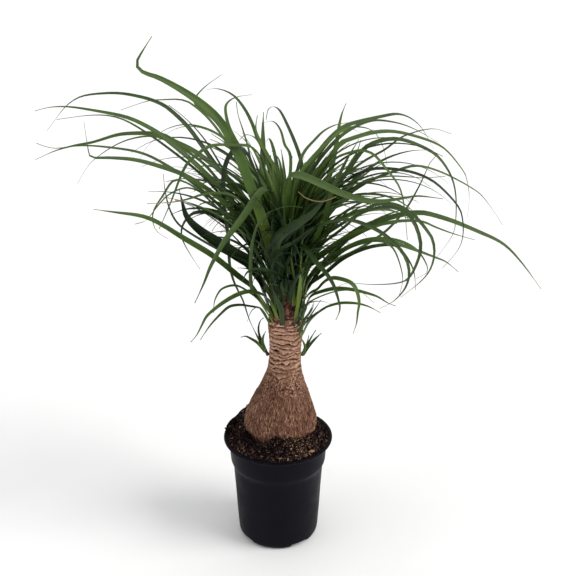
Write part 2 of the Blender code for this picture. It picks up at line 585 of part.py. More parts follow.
def tube(start, end, start_radius, end_radius):
    """A short tapered stalk."""
    start = Vector(start)
    end = Vector(end)
    way = (end - start).normalized()
    side = way.cross(Vector((0.0, 1.0, 0.0))).normalized()
    up = side.cross(way)
    rings = []
    for middle, radius in ((start, start_radius), (end, end_radius)):
        steps = [2.0 * math.pi * i / STALK_SIDES for i in range(STALK_SIDES)]
        rings.append([middle + (side * math.cos(a) + up * math.sin(a)) * radius for a in steps])
    return closed_loft(rings)


def add_shoot(name, stalk, blades, heading, material):
    """A stalk with its blades joined on. It gives back the trees of its parts, for the leaves to keep clear of."""
    stalk_mesh = tube(*stalk)
    trees = [tree_of(stalk_mesh)]
    shoot = add_object(name, *stalk_mesh, material)
    for index, (width, knots) in enumerate(blades):
        mesh = blade(smooth_line(knots), width, heading, BLADE_FACE, 0.0)
        trees.append(tree_of(mesh))
        add_cut(shoot, add_object(f"{name}_blade_{index}", *mesh, material), "UNION")
    return trees


def main():
    clear_scene()
    plastic = make_material("pot_plastic", (0.011, 0.011, 0.014), 0.45)
    peat = make_material("peat_soil", (0.02, 0.012, 0.01), 0.95)
    bark = make_material("bark", (0.16, 0.085, 0.055), 0.85)
    green = make_material("leaf_green", (0.08, 0.16, 0.035), 0.45)
    young = make_material("shoot_green", (0.11, 0.17, 0.05), 0.5)
    add_pot(plastic)
    add_soil(peat)
    trunk_skin = closed_loft(trunk_rings())
    add_object("trunk", *trunk_skin, bark)
    stem_trees = [tree_of(trunk_skin)]
    stem_trees += add_shoot("shoot_left", SHOOT_LEFT_STALK, SHOOT_LEFT_BLADES, 180.0, young)
    stem_trees += add_shoot("shoot_right", SHOOT_RIGHT_STALK, SHOOT_RIGHT_BLADES, 0.0, young)
    add_leaves(green, stem_trees)


main()
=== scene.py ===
"""Looks of the potted ponytail palm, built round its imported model.

Run as a script it builds every piece, the stage and the camera. The operators and the panel let a user
build or change one piece at a time. Lengths in the tables are millimetres, and MM turns them into metres.
"""

import math
import random
from collections import namedtuple

import bmesh
import bpy
import numpy as np
from bpy.props import FloatProperty, FloatVectorProperty, IntProperty, PointerProperty
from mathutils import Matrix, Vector, noise
from mathutils.bvhtree import BVHTree


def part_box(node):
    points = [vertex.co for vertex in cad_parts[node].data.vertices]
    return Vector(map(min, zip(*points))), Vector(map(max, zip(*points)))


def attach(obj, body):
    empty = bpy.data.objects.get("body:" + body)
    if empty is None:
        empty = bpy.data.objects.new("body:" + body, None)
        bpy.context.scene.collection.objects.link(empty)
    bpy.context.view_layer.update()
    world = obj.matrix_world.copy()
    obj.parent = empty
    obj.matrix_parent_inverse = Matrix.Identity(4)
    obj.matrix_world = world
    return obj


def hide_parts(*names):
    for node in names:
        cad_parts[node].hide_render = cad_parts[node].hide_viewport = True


bl_info = {
    "name": "Potted ponytail palm",
    "version": (1, 0, 0),
    "blender": (4, 5, 0),
    "location": "3D View > Sidebar > Palm",
    "description": "Builds the finished surfaces of a young ponytail palm in a nursery pot",
    "category": "Object",
}

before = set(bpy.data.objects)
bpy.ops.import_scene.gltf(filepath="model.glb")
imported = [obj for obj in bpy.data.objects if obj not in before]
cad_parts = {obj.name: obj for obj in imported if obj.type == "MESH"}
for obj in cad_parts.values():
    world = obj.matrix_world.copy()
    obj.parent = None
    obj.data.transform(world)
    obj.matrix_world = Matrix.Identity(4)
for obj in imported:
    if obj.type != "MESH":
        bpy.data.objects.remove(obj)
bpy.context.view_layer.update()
MM = 0.001
BODY = "root"

# The camera, in millimetres: its place, how far it looks down, its focal length and sensor.
VIEW_X = 12.9
VIEW_Y = -1200.0
VIEW_Z = 894.0
VIEW_PITCH = 24.3
VIEW_LENS = 67.75
VIEW_SENSOR = 36.0

# The upright plane through the stem, which the leaf routes are drawn on.
STEM_X = 10.0
STEM_Y = 10.0

# The way to the front, which some blades are partly turned to.
FRONT = Vector((0.0, -0.91, 0.41))


# Node trees


class Value:
    """What a node gives. A formula written with values puts its nodes in the values' tree."""

    def __init__(self, web, socket):
        self.web = web
        self.socket = socket

    def __add__(self, other):
        return self.web.math("ADD", self, other)

    def __radd__(self, other):
        return self.web.math("ADD", other, self)

    def __sub__(self, other):
        return self.web.math("SUBTRACT", self, other)

    def __rsub__(self, other):
        return self.web.math("SUBTRACT", other, self)

    def __mul__(self, other):
        return self.web.math("MULTIPLY", self, other)

    def __truediv__(self, other):
        return self.web.math("DIVIDE", self, other)

    def __pow__(self, other):
        return self.web.math("POWER", self, other)

    def __abs__(self):
        return self.web.math("ABSOLUTE", self)

    def scaled(self, size):
        return self.web.node("ShaderNodeVectorMath", {0: self, "Scale": size}, "Vector", operation="SCALE")

    def split(self):
        made = self.web.made("ShaderNodeSeparateXYZ", {0: self})
        return [Value(self.web, socket) for socket in made.outputs]

    def noise(self, scale, detail=2.0, roughness=0.5, output=0):
        inputs = {"Vector": self, "Scale": scale, "Detail": detail, "Roughness": roughness}
        return self.web.node("ShaderNodeTexNoise", inputs, output)

    def cells(self, scale, output="Distance"):
        return self.web.node("ShaderNodeTexVoronoi", {"Vector": self, "Scale": scale}, output)

    def spread(self, low, high, new_low=0.0, new_high=1.0, kind="SMOOTHSTEP"):
        """The value moved from one range to another, with its ends held."""
        inputs = {"Value": self, "From Min": low, "From Max": high, "To Min": new_low, "To Max": new_high}
        return self.web.node("ShaderNodeMapRange", inputs, interpolation_type=kind)

    def centred(self, low, high):
        return self.spread(low, high, -0.5, 0.5, "LINEAR")

    def ramp(self, *stops):
        """The colour at the value, between stops of (place, colour)."""
        made = self.web.made("ShaderNodeValToRGB", {0: self})
        elements = made.color_ramp.elements
        while len(elements) < len(stops):
            elements.new(0.5)
        for element, (place, colour) in zip(elements, stops):
            element.position = place
            element.color = colour
        return Value(self.web, made.outputs[0])

    def store(self, name, value):
        """A mesh or points with a number stored at each point."""
        return self.web.geo("StoreNamedAttribute", Geometry=self, Name=name, Value=value)


class Web:
    """Puts nodes in a tree and links them."""

    def __init__(self, tree):
        self.tree = tree

    def feed(self, socket, value):
        if isinstance(value, Value):
            self.tree.links.new(value.socket, socket)
        else:
            socket.default_value = value

    def made(self, kind, inputs=None, **settings):
        """A new node."""
        node = self.tree.nodes.new(kind)
        for key, value in settings.items():
            setattr(node, key, value)
        for key, value in (inputs or {}).items():
            self.feed(node.inputs[key], value)
        return node

    def node(self, kind, inputs=None, output=0, **settings):
        """What a new node gives."""
        return Value(self, self.made(kind, inputs, **settings).outputs[output])

    def geo(self, kind, settings=None, **inputs):
        """What a new geometry node gives. The name of an input has _ for a space."""
        inputs = {name.replace("_", " "): value for name, value in inputs.items()}
        return self.node("GeometryNode" + kind, inputs, **(settings or {}))

    def math(self, operation, *values, clamp=False):
        return self.node("ShaderNodeMath", dict(enumerate(values)), operation=operation, use_clamp=clamp)

    def vector(self, operation, *values):
        output = "Value" if operation == "DOT_PRODUCT" else "Vector"
        return self.node("ShaderNodeVectorMath", dict(enumerate(values)), output, operation=operation)

    def combine(self, x, y, z):
        return self.node("ShaderNodeCombineXYZ", {0: x, 1: y, 2: z})

    def mix(self, share, first, second):
        return self.node("ShaderNodeMix", {"Factor": share, 6: first, 7: second}, 2, data_type="RGBA")

    def attribute(self, name, output="Fac"):
        """A stored value of the mesh, in a material."""
        return self.node("ShaderNodeAttribute", None, output, attribute_name=name)

    def stored(self, name, kind="FLOAT"):
        """A stored value of the geometry, in a geometry tree."""
        return self.geo("InputNamedAttribute", {"data_type": kind}, Name=name)

    def chance(self, low, high, seed):
        """A random number, or a random vector between two vectors."""
        kind = "FLOAT" if isinstance(low, float) else "FLOAT_VECTOR"
        node = self.made("FunctionNodeRandomValue", data_type=kind)
        sockets = [socket for socket in node.inputs if socket.enabled]
        for socket, value in zip(sockets[:2] + sockets[-1:], (low, high, seed)):
            self.feed(socket, value)
        return Value(self, next(socket for socket in node.outputs if socket.enabled))

    def uneven(self, scale, size):
        """A random shift for each point of a mesh, in a geometry tree."""
        shift = self.geo("InputPosition").noise(scale, output=1)
        return self.vector("SUBTRACT", shift, (0.5, 0.5, 0.5)).scaled(size)


def solid(colour, times=1.0):
    return (*(part * times for part in colour), 1.0)


def new_material(name, roughness, specular):
    """A material, its web of nodes and the place on the object."""
    material = bpy.data.materials.new(name)
    material.use_nodes = True
    shader = material.node_tree.nodes["Principled BSDF"]
    shader.inputs["Roughness"].default_value = roughness
    shader.inputs["Specular IOR Level"].default_value = specular
    web = Web(material.node_tree)
    return material, web, web.node("ShaderNodeTexCoord", output="Object")


def paint(web, colour, relief=None, roughness=None):
    """Links a colour, a relief of (height, strength, distance) and a roughness to a material's shader."""
    inputs = web.tree.nodes["Principled BSDF"].inputs
    web.feed(inputs["Base Color"], colour)
    if relief:
        bump = web.node("ShaderNodeBump", dict(zip(("Height", "Strength", "Distance"), relief)))
        web.feed(inputs["Normal"], bump)
    if roughness:
        web.feed(inputs["Roughness"], roughness)


def new_tree(name, **sizes):
    """A new geometry tree's web, and what its inputs give: a mesh, the named sizes and a material."""
    tree = bpy.data.node_groups.new(name, "GeometryNodeTree")
    for label, kind in {"Geometry": "Geometry", **sizes, "Material": "Material"}.items():
        tree.interface.new_socket(label.replace("_", " "), in_out="INPUT", socket_type=f"NodeSocket{kind}")
    tree.interface.new_socket("Geometry", in_out="OUTPUT", socket_type="NodeSocketGeometry")
    web = Web(tree)
    return web, {socket.name: Value(web, socket) for socket in web.made("NodeGroupInput").outputs}


def end_tree(web, given, geometry):
    """Every geometry tree's end: real meshes with their material on."""
    real = web.geo("RealizeInstances", Geometry=geometry)
    dressed = web.geo("SetMaterial", Geometry=real, Material=given["Material"])
    web.made("NodeGroupOutput", {"Geometry": dressed})
    return web.tree


# Meshes


def mesh_object(name, points=(), faces=(), edges=()):
    """An object with its mesh in place, from points in metres."""
    mesh = bpy.data.meshes.new(name)
    mesh.from_pydata([tuple(point) for point in points], edges, faces)
    mesh.update()
    made = bpy.data.objects.new(name, mesh)
    bpy.context.scene.collection.objects.link(made)
    return made


def add_values(made, **layers):
    """Stores a number or a vector for each point of a mesh, under each name."""
    for name, values in layers.items():
        values = np.asarray(values, np.float32)
        kind, key = ("FLOAT", "value") if values.ndim == 1 else ("FLOAT_VECTOR", "vector")
        made.data.attributes.new(name, kind, "POINT").data.foreach_set(key, values.ravel())


def settle(made):
    """Puts what an object's modifiers make of it in their place, as its plain mesh."""
    bpy.context.view_layer.update()
    graph = bpy.context.evaluated_depsgraph_get()
    result = bpy.data.meshes.new_from_object(made.evaluated_get(graph), depsgraph=graph)
    old = made.data
    made.modifiers.clear()
    made.data = result
    bpy.data.meshes.remove(old)
    result.name = made.name
    if not result.polygons:
        raise ValueError(f"{made.name} came out empty")


def grow(made, tree, **sizes):
    """Runs a geometry tree on an object and keeps the result."""
    change = made.modifiers.new(tree.name, "NODES")
    change.node_group = tree
    for item in tree.interface.items_tree:
        key = item.name.replace(" ", "_")
        if item.in_out == "INPUT" and key in sizes:
            change[item.identifier] = sizes[key]
    settle(made)
    return made


def cut_away(made, cutters):
    """Cuts the cutters from a piece for good."""
    for cutter in cutters:
        change = made.modifiers.new("cut", "BOOLEAN")
        change.operation = "DIFFERENCE"
        change.solver = "EXACT"
        change.object = cutter
    settle(made)
    for cutter in cutters:
        bpy.data.objects.remove(cutter)


def seat(made, nodes=()):
    """Says which body a piece rides on and which solids it stands for."""
    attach(made, BODY)
    if nodes:
        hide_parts(*nodes)


def smooth(made):
    made.data.polygons.foreach_set("use_smooth", [True] * len(made.data.polygons))


def outward(made):
    """Turns a closed mesh's faces outwards."""
    shape = bmesh.new()
    shape.from_mesh(made.data)
    bmesh.ops.recalc_face_normals(shape, faces=shape.faces[:])
    shape.to_mesh(made.data)
    shape.free()


def full_turn(count):
    return [2.0 * math.pi * i / count for i in range(count)]


def quads(rows, columns, closed=True):
    """The faces between rows of points. A closed row runs back to its first point."""
    spans = [(i, (i + 1) % columns) for i in range(columns if closed else columns - 1)]
    lows = range(0, (rows - 1) * columns, columns)
    return [(low + i, low + j, low + columns + j, low + columns + i) for low in lows for i, j in spans]


def tube(name, rings):
    """A shape that is closed at both ends, from its rings of points in metres."""
    columns = len(rings[0])
    last = (len(rings) - 1) * columns
    faces = [tuple(reversed(range(columns))), *quads(len(rings), columns), tuple(range(last, last + columns))]
    made = mesh_object(name, [point for ring in rings for point in ring], faces)
    outward(made)
    return made


def circle(radius, z, count, x=0.0, y=0.0):
    """The points of a level ring in metres, from its radius, height and middle in millimetres."""
    turns = full_turn(count)
    return [((x + radius * math.cos(a)) * MM, (y + radius * math.sin(a)) * MM, z * MM) for a in turns]


def lathe(name, profile, segments, x=0.0, y=0.0):
    """A turned shape from (radius, height) pairs, from its bottom to its top, in millimetres."""
    return tube(name, [circle(radius, z, segments, x, y) for radius, z in profile])


# Settings of the panel


def colour_of(name, description, default):
    return FloatVectorProperty(
        name=name, description=description, default=default, subtype="COLOR", size=3, min=0.0, max=1.0)


def share_of(name, description, default, least=0.0, most=1.0):
    return FloatProperty(
        name=name, description=description, default=default, subtype="FACTOR", min=least, max=most)


def length_of(name, description, default, least, most):
    return FloatProperty(
        name=name, description=description, default=default, unit="LENGTH", min=least, max=most)


def light_of(name, description, default, most=20.0):
    return FloatProperty(name=name, description=description, default=default, min=0.0, max=most)


def number_of(name, description, default, most, least=0):
    return IntProperty(name=name, description=description, default=default, min=least, max=most)


# Pot

POT_SEGMENTS = 144
POT_FLOOR_LOW = 8.0
POT_FLOOR_TOP = 9.6
POT_PAD_RADIUS = 14.4
POT_UNDER = ((POT_PAD_RADIUS, 0.0), (POT_PAD_RADIUS + 0.3, 0.6), (POT_PAD_RADIUS + 0.8, POT_FLOOR_LOW))
POT_FOOT = (
    (43.2, POT_FLOOR_LOW), (44.4, 7.0), (44.4, 0.4), (44.8, 0.0), (46.0, 0.0), (47.5, 0.5), (48.8, 1.4),
)
POT_WALL = (
    (50.2, 3.0), (51.2, 5.0), (51.9, 7.4), (52.3, 10.0), (54.3, 40.0), (55.7, 68.0), (57.0, 88.0),
    (57.8, 100.0), (58.2, 103.4), (58.8, 106.0), (59.9, 108.8), (60.8, 110.6), (61.3, 112.6), (61.8, 118.0),
    (62.4, 131.0), (62.6, 136.0), (62.9, 137.9), (63.7, 139.3), (65.0, 140.4), (66.6, 140.9), (68.4, 141.1),
    (69.4, 141.6), (69.9, 142.4), (70.0, 143.0), (69.7, 143.8), (68.9, 144.2), (67.6, 144.3), (66.2, 144.1),
    (64.8, 143.4), (63.3, 141.8), (62.1, 139.4),
)
POT_BORE = ((61.3, 136.0), (60.3, 116.0), (56.6, 104.0), (54.3, 68.0), (51.2, 14.0), (49.8, POT_FLOOR_TOP))
NOTCH_TURNS = (35.0, 125.0, 215.0, 305.0)
NOTCH_HEIGHT = 6.6
NOTCH_ANGLE = 32.0
NOTCH_SPARE = 1.5
NOTCH_TAPER = 3.5
NOTCH_ROUND = 9
NOTCH_IN = 41.0
NOTCH_OUT = 60.0
DRAIN_SEGMENTS = 24
DRAIN_SPARE = 3.0
DRAIN_COUNT = 8
DRAIN_RADIUS = 4.0
DRAIN_CIRCLE = 31.0
POT_SHARP = 38.0
DUST = (0.045, 0.030, 0.025)
DUST_IN = (0.1375, 0.1442)

# The notches' levels from the floor up: height, and how far each side draws in.
NOTCH_LEVELS = ((-2.0, 0.0), (NOTCH_HEIGHT - 1.2, 0.0), (NOTCH_HEIGHT, 1.6))


class PotLook(bpy.types.PropertyGroup):
    wall_colour: colour_of("Wall colour", "Colour of the moulded plastic", (0.0025, 0.0026, 0.0060))
    scuff_colour: colour_of("Scuff colour", "Colour of faint rubbed marks and dust", (0.012, 0.012, 0.016))
    roughness: share_of("Roughness", "How matt the plastic is", 0.45)


def pot_plastic(look):
    material, web, place = new_material("pot_plastic", look.roughness, 0.07)
    x, y, z = place.split()
    cloudy = place.noise(38.0, 4.0, 0.6)
    scuffs = web.combine(x * 900.0, y * 900.0, z).noise(1.0)
    marks = cloudy.spread(0.5, 0.78) * scuffs.spread(0.55, 0.8)
    colour = web.mix(marks * 0.55, solid(look.wall_colour), solid(look.scuff_colour))
    dusty = z.spread(*DUST_IN) * place.noise(260.0, 3.0).spread(0.55, 0.75)
    colour = web.mix(dusty * 0.4, colour, solid(DUST))
    height = place.noise(2400.0) + web.math("SINE", z * 5200.0) * 0.12
    rough = cloudy.spread(0.3, 0.75, look.roughness - 0.05, look.roughness + 0.12)
    paint(web, colour, (height, 0.18, 0.0002), rough)
    return material


def notch_cutter(turn):
    """A wedge that opens the foot ring from inside to outside, narrower and rounded at its top."""
    middle = math.radians(turn)
    rings = []
    for z, draw in NOTCH_LEVELS:
        half = math.radians(NOTCH_ANGLE / 2.0 + NOTCH_SPARE - NOTCH_TAPER * max(z, 0.0) / NOTCH_HEIGHT)
        ways = [half * (2.0 * i / (NOTCH_ROUND - 1) - 1.0) for i in range(NOTCH_ROUND)]
        ring = []
        for radius, line in ((NOTCH_IN, ways), (NOTCH_OUT, reversed(ways))):
            narrow = 1.0 - draw / (radius * math.radians(NOTCH_ANGLE / 2.0))
            angles = [middle + way * narrow for way in line]
            ring += [(radius * math.cos(a) * MM, radius * math.sin(a) * MM, z * MM) for a in angles]
        rings.append(ring)
    return tube("notch_cutter", rings)


def drain_cutter(turn):
    profile = ((DRAIN_RADIUS, POT_FLOOR_LOW - DRAIN_SPARE), (DRAIN_RADIUS, POT_FLOOR_TOP + DRAIN_SPARE))
    x, y = DRAIN_CIRCLE * math.cos(turn), DRAIN_CIRCLE * math.sin(turn)
    return lathe("drain_cutter", profile, DRAIN_SEGMENTS, x, y)


class PALM_OT_pot(bpy.types.Operator):
    """Builds the nursery pot: thin wall, collar, rolled lip, foot ring with notches and drainage holes"""

    bl_idname = "palm.pot"
    bl_label = "Nursery pot"

    def execute(self, context):
        pot = lathe("nursery_pot", POT_UNDER + POT_FOOT + POT_WALL + POT_BORE, POT_SEGMENTS)
        drains = [2.0 * math.pi * (i + 0.5) / DRAIN_COUNT for i in range(DRAIN_COUNT)]
        cutters = [notch_cutter(turn) for turn in NOTCH_TURNS]
        cut_away(pot, cutters + [drain_cutter(turn) for turn in drains])
        smooth(pot)
        pot.data.set_sharp_from_angle(angle=math.radians(POT_SHARP))
        pot.data.materials.clear()
        pot.data.materials.append(pot_plastic(context.scene.palm_pot))
        seat(pot, ("pot",))
        return {"FINISHED"}


# Soil

SOIL_COLUMNS = 300
SOIL_OPEN_ROWS = 42
SOIL_HIDDEN_ROWS = 5
SOIL_OPEN_SHARE = 0.58
SOIL_LEAST_SHARE = 0.08
SOIL_REACH_SPARE = 0.45
SOIL_DEEPEST = 30.0
SOIL_SLOPE = 1.6
FACE_COLUMNS = 72
FACE_ROWS = 16
FACE_INSET = 1.5
FACE_HIGHEST = 172.0
FACE_LEAST_WIDTH = 0.9
FACE_ROUGHNESS = 0.8
LIP_ROUGHNESS = 0.35
LIP_ROUGHENING = 9.0
BESIDE_SOIL = 143.0
UNDER_BULB = 151.0
BRIM_RADIUS = 52.0
BRIM_RUN = 8.5
BRIM_RISE = 4.5
BRIM_TOP = 144.2
BRIM_LAP = 4.9
SPILL_TURN = 142.0
SPILL_SPREAD = 30.0
SPILL_RISE = 5.0
BULB_X = 3.0
BULB_SOIL_RADIUS = 45.6
BULB_HIDDEN_RADIUS = 44.5

# The peat's side in the pot, as radius and height. At the lip the radius counts from the peat's reach.
SOIL_FLOOR_RADIUS = 49.4
SOIL_FLOOR_SPARE = 0.1
SOIL_WALL = ((50.8, 14.0), (53.9, 68.0), (56.2, 104.0), (59.9, 116.0))
SOIL_LIP = ((0.0, 136.5), (0.9, 138.8), (2.6, 141.6), (4.1, 143.3))

# Where the loose peat is heaped or hollowed near the bulb: x and y, spread and rise.
SOIL_BANKS = (
    (-25.0, -29.0, 11.0, -7.5), (-4.0, -38.0, 7.0, 6.5), (16.0, -38.0, 10.0, 2.0), (-40.0, 42.0, 9.0, 4.5),
)

# Where peat has spilled over the lip: radius, height and share of the litter of each row, then its angles.
SPILL_ROWS = ((60.0, 151.0, 1.0), (64.0, 150.0, 1.0), (67.4, 148.0, 0.75), (69.2, 146.0, 0.75))
SPILL_FROM = 112.0
SPILL_HALF = 34.0
SPILL_COLUMNS = 24

# Where the pale crumbs of bark lie, in degrees.
PALE_CRUMBS_TURN = 305.0
PALE_CRUMBS_SPREAD = 25.0


class SoilLook(bpy.types.PropertyGroup):
    dark: colour_of("Dark peat", "Colour of the moist peat", (0.0062, 0.0036, 0.0032))
    light: colour_of("Light peat", "Colour of the drier crumbs", (0.120, 0.076, 0.070))
    chip: colour_of("Chip colour", "Colour of the wood and bark chips", (0.46, 0.28, 0.16))
    crumbs: number_of("Crumbs", "How many loose crumbs lie on the soil per square decimetre", 3600, 6000)
    lumps: number_of("Lumps", "How many large lumps lie on the soil per square decimetre", 520, 2000)
    chips: number_of("Chips", "How many chips lie on the soil per square decimetre", 60, 400)
    fibres: number_of("Fibres", "How many fibres lie on the soil per square decimetre", 60, 400)
    crumb_size: length_of("Crumb size", "Radius of an average crumb", 0.0009, 0.0002, 0.01)
    lump_size: length_of("Lump size", "Radius of an average lump", 0.0021, 0.0005, 0.01)


def peat(name, look, lightness=1.0):
    """Peat with light and dark crumbs. A crumb's own stored shade moves it between the two colours."""
    material, web, place = new_material(name, 0.95, 0.04)
    shade = place.cells(620.0, "Color").split()[0]
    amount = shade.spread(0.45, 1.0) * place.noise(55.0, 3.0, 0.6).spread(0.35, 0.75)
    own = web.attribute("shade").spread(0.6, 1.1) * 0.7
    amount = web.math("ADD", amount * 0.55, own, clamp=True)
    colour = web.mix(amount, solid(look.dark), solid(look.light, lightness))
    paint(web, colour, (place.noise(900.0, 4.0, 0.7) + place.cells(620.0), 1.0, 0.0011))
    return material


def soil_reach():
    low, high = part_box("soil")
    return (high.x - low.x) / 2.0 / MM


def soil_top():
    """Gives a function that tells the height of the packed soil's top at a place, or None beside it."""
    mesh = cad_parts["soil"].data
    corners = [v.co.copy() for v in mesh.vertices]
    tree = BVHTree.FromPolygons(corners, [tuple(p.vertices) for p in mesh.polygons])
    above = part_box("soil")[1].z + 0.01

    def height(x, y):
        hit = tree.ray_cast(Vector((x * MM, y * MM, above)), Vector((0.0, 0.0, -1.0)))[0]
        return None if hit is None else hit.z / MM

    return height


def banked(x, y):
    """How much the loose peat is heaped or hollowed at a place, in millimetres."""
    return sum(h * math.exp(-((x - px) ** 2 + (y - py) ** 2) / reach**2) for px, py, reach, h in SOIL_BANKS)


def loose(x, y, top):
    """How much higher than the packed soil the loose peat stands at a place, in millimetres."""
    edge = min(1.0, max(0.0, (math.hypot(x, y) - BRIM_RADIUS) / BRIM_RUN))
    back = (math.degrees(math.atan2(y, x)) - SPILL_TURN) / SPILL_SPREAD
    spill = SPILL_RISE * math.exp(-back * back)
    return banked(x, y) + edge * (max(0.0, min(BRIM_RISE, BRIM_TOP - top)) + spill)


def crumbly(x, y):
    """Roughness of the peat's surface at a place, in millimetres."""
    spot = Vector((x, y, 0.0))
    lumps = noise.noise(spot * 0.21) * 2.3
    clods = abs(noise.noise(spot * 0.48 + Vector((7.0, 3.0, 0.0)))) * 2.2
    grains = noise.noise(spot * 1.1 + Vector((1.0, 9.0, 4.0))) * 0.9
    return lumps + clods + grains - 1.0


def soil_mesh(name):
    """The peat: plain sides up from the pot's floor, and a crumbly top that meets the bulb."""
    height = soil_top()
    reach = soil_reach() - SOIL_REACH_SPARE
    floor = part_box("soil")[0].z / MM + SOIL_FLOOR_SPARE
    wall = ((SOIL_FLOOR_RADIUS, floor), *SOIL_WALL, *((reach + past, z) for past, z in SOIL_LIP))
    rings = [circle(radius, z, SOIL_COLUMNS) for radius, z in wall]
    shares = [*np.linspace(1.0, SOIL_OPEN_SHARE, SOIL_OPEN_ROWS)]
    shares += [*np.linspace(SOIL_OPEN_SHARE, SOIL_LEAST_SHARE, SOIL_HIDDEN_ROWS)][1:]
    for share in shares:
        ring = []
        for turn in full_turn(SOIL_COLUMNS):
            x, y = reach * share * math.cos(turn), reach * share * math.sin(turn)
            top = height(x, y)
            if share == 1.0:
                x, y = (reach + BRIM_LAP) * math.cos(turn), (reach + BRIM_LAP) * math.sin(turn)
            hidden = BULB_HIDDEN_RADIUS - math.hypot(x - BULB_X, y - STEM_Y)
            if hidden > 0.0 or top is None:
                z = UNDER_BULB + banked(x, y) - min(SOIL_DEEPEST, max(0.0, hidden) * SOIL_SLOPE)
            else:
                rough = min(1.0, LIP_ROUGHNESS + (1.0 - share) * LIP_ROUGHENING)
                z = top + loose(x, y, top) + crumbly(x, y) * rough
            ring.append((x * MM, y * MM, z * MM))
        rings.append(ring)
    return tube(name, rings)


class PALM_OT_soil(bpy.types.Operator):
    """Builds the peat that fills the pot, heaped against the bulb"""

    bl_idname = "palm.soil"
    bl_label = "Peat"

    def execute(self, context):
        soil = soil_mesh("peat_bed")
        soil.data.materials.append(peat("peat", context.scene.palm_soil))
        seat(soil, ("soil",))
        return {"FINISHED"}


# How many square decimetres a square metre has.
DECIMETRES = 100.0

# Kinds of litter: how jagged it is, its least and its most stretch, and its turn either way in radians.
LITTER = {
    "crumb": (0.5, (0.4, 0.4, 0.35), (1.5, 1.2, 1.0), (3.1, 3.1, 3.1)),
    "chip": (1.0, (0.3, 0.3, 0.5), (1.6, 1.2, 1.5), (0.6, 0.6, 3.1)),
    "fibre": (0.8, (0.4, 0.4, 0.4), (1.4, 1.4, 1.4), (0.4, 0.4, 3.1)),
}


def litter_tree(name, kind):
    """Scatters crumbs, chips or fibres over a surface, as many, as large and as high as its inputs say."""
    web, given = new_tree(name, Density="Float", Size="Float", Lift="Float", Seed="Int")
    seed = given["Seed"]
    inputs = {"Mesh": given["Geometry"], "Density": given["Density"] * web.stored("bare"), "Seed": seed}
    scatter = web.made("GeometryNodeDistributePointsOnFaces", inputs)
    lifted = Value(web, scatter.outputs["Normal"]).scaled(given["Lift"])
    points = web.geo("SetPosition", Geometry=Value(web, scatter.outputs["Points"]), Offset=lifted)
    points = points.store("shade", web.chance(0.0, 1.0, seed + 3.0))
    if kind == "crumb":
        body = web.geo("MeshIcoSphere", Radius=1.0, Subdivisions=1)
    elif kind == "chip":
        body = web.geo("MeshCube", Size=(2.0, 1.0, 0.35), Vertices_X=4, Vertices_Y=3)
    else:
        arc = web.geo("CurveArc", {"mode": "RADIUS"}, Resolution=8, Radius=1.0, Sweep_Angle=1.7)
        line = web.geo("CurvePrimitiveCircle", {"mode": "RADIUS"}, Resolution=4, Radius=0.06)
        body = web.geo("CurveToMesh", Curve=arc, Profile_Curve=line, Fill_Caps=True)
    jagged, least, most, spin = LITTER[kind]
    body = web.geo("SetPosition", Geometry=body, Offset=web.uneven(1.7, jagged))
    stretch = web.chance(least, most, seed + 5.0).scaled(given["Size"])
    turn = web.chance(tuple(-angle for angle in spin), spin, seed + 7.0)
    turn = web.node("FunctionNodeEulerToRotation", {0: turn})
    copies = web.geo("InstanceOnPoints", Points=points, Instance=body, Rotation=turn, Scale=stretch)
    return end_tree(web, given, copies)


def soil_face(name, bareness):
    """The open top of the soil. It stores how much litter lies at each angle round the pot."""
    height = soil_top()
    reach = soil_reach() + BRIM_LAP - FACE_INSET
    centre = Vector((BULB_X, STEM_Y))
    points, bare = [], []
    for row in range(FACE_ROWS):
        for turn in full_turn(FACE_COLUMNS):
            outer = Vector((reach * math.cos(turn), reach * math.sin(turn)))
            way = outer - centre
            inner = centre + way.normalized() * BULB_SOIL_RADIUS
            if way.length < BULB_SOIL_RADIUS + FACE_LEAST_WIDTH:
                inner = outer
            x, y = outer.lerp(inner, row / (FACE_ROWS - 1))
            top = height(x, y)
            z = BESIDE_SOIL if top is None else min(top, FACE_HIGHEST)
            z += loose(x, y, z)
            points.append((x * MM, y * MM, (z + crumbly(x, y) * FACE_ROUGHNESS) * MM))
            bare.append(bareness(math.degrees(turn)))
    made = mesh_object(name, points, quads(FACE_ROWS, FACE_COLUMNS))
    add_values(made, bare=bare)
    return made


def rim_face(name):
    """The top of the pot's lip behind the bulb on the left, where the heaped peat has spilled over it."""
    points, bare = [], []
    for radius, z, most in SPILL_ROWS:
        for i in range(SPILL_COLUMNS):
            turn = math.radians(SPILL_FROM + 2.0 * SPILL_HALF * i / (SPILL_COLUMNS - 1))
            points.append((radius * math.cos(turn) * MM, radius * math.sin(turn) * MM, z * MM))
            middle = 1.0 - abs(math.degrees(turn) - SPILL_FROM - SPILL_HALF) / SPILL_HALF
            bare.append(min(1.0, 2.0 * middle) * most)
    faces = [(a, d, c, b) for a, b, c, d in quads(len(SPILL_ROWS), SPILL_COLUMNS, closed=False)]
    made = mesh_object(name, points, faces)
    add_values(made, bare=bare)
    return made


def everywhere(turn):
    return 1.0


def more_in_front(turn):
    """A fifth as much at the back as at the front."""
    return 0.2 + 0.8 * (0.5 - 0.5 * math.sin(math.radians(turn)))


def front_right(turn):
    """Most at the front on the right, where the photograph shows pale crumbs."""
    off = (turn - PALE_CRUMBS_TURN + 180.0) % 360.0 - 180.0
    return 0.02 + math.exp(-((off / PALE_CRUMBS_SPREAD) ** 2))


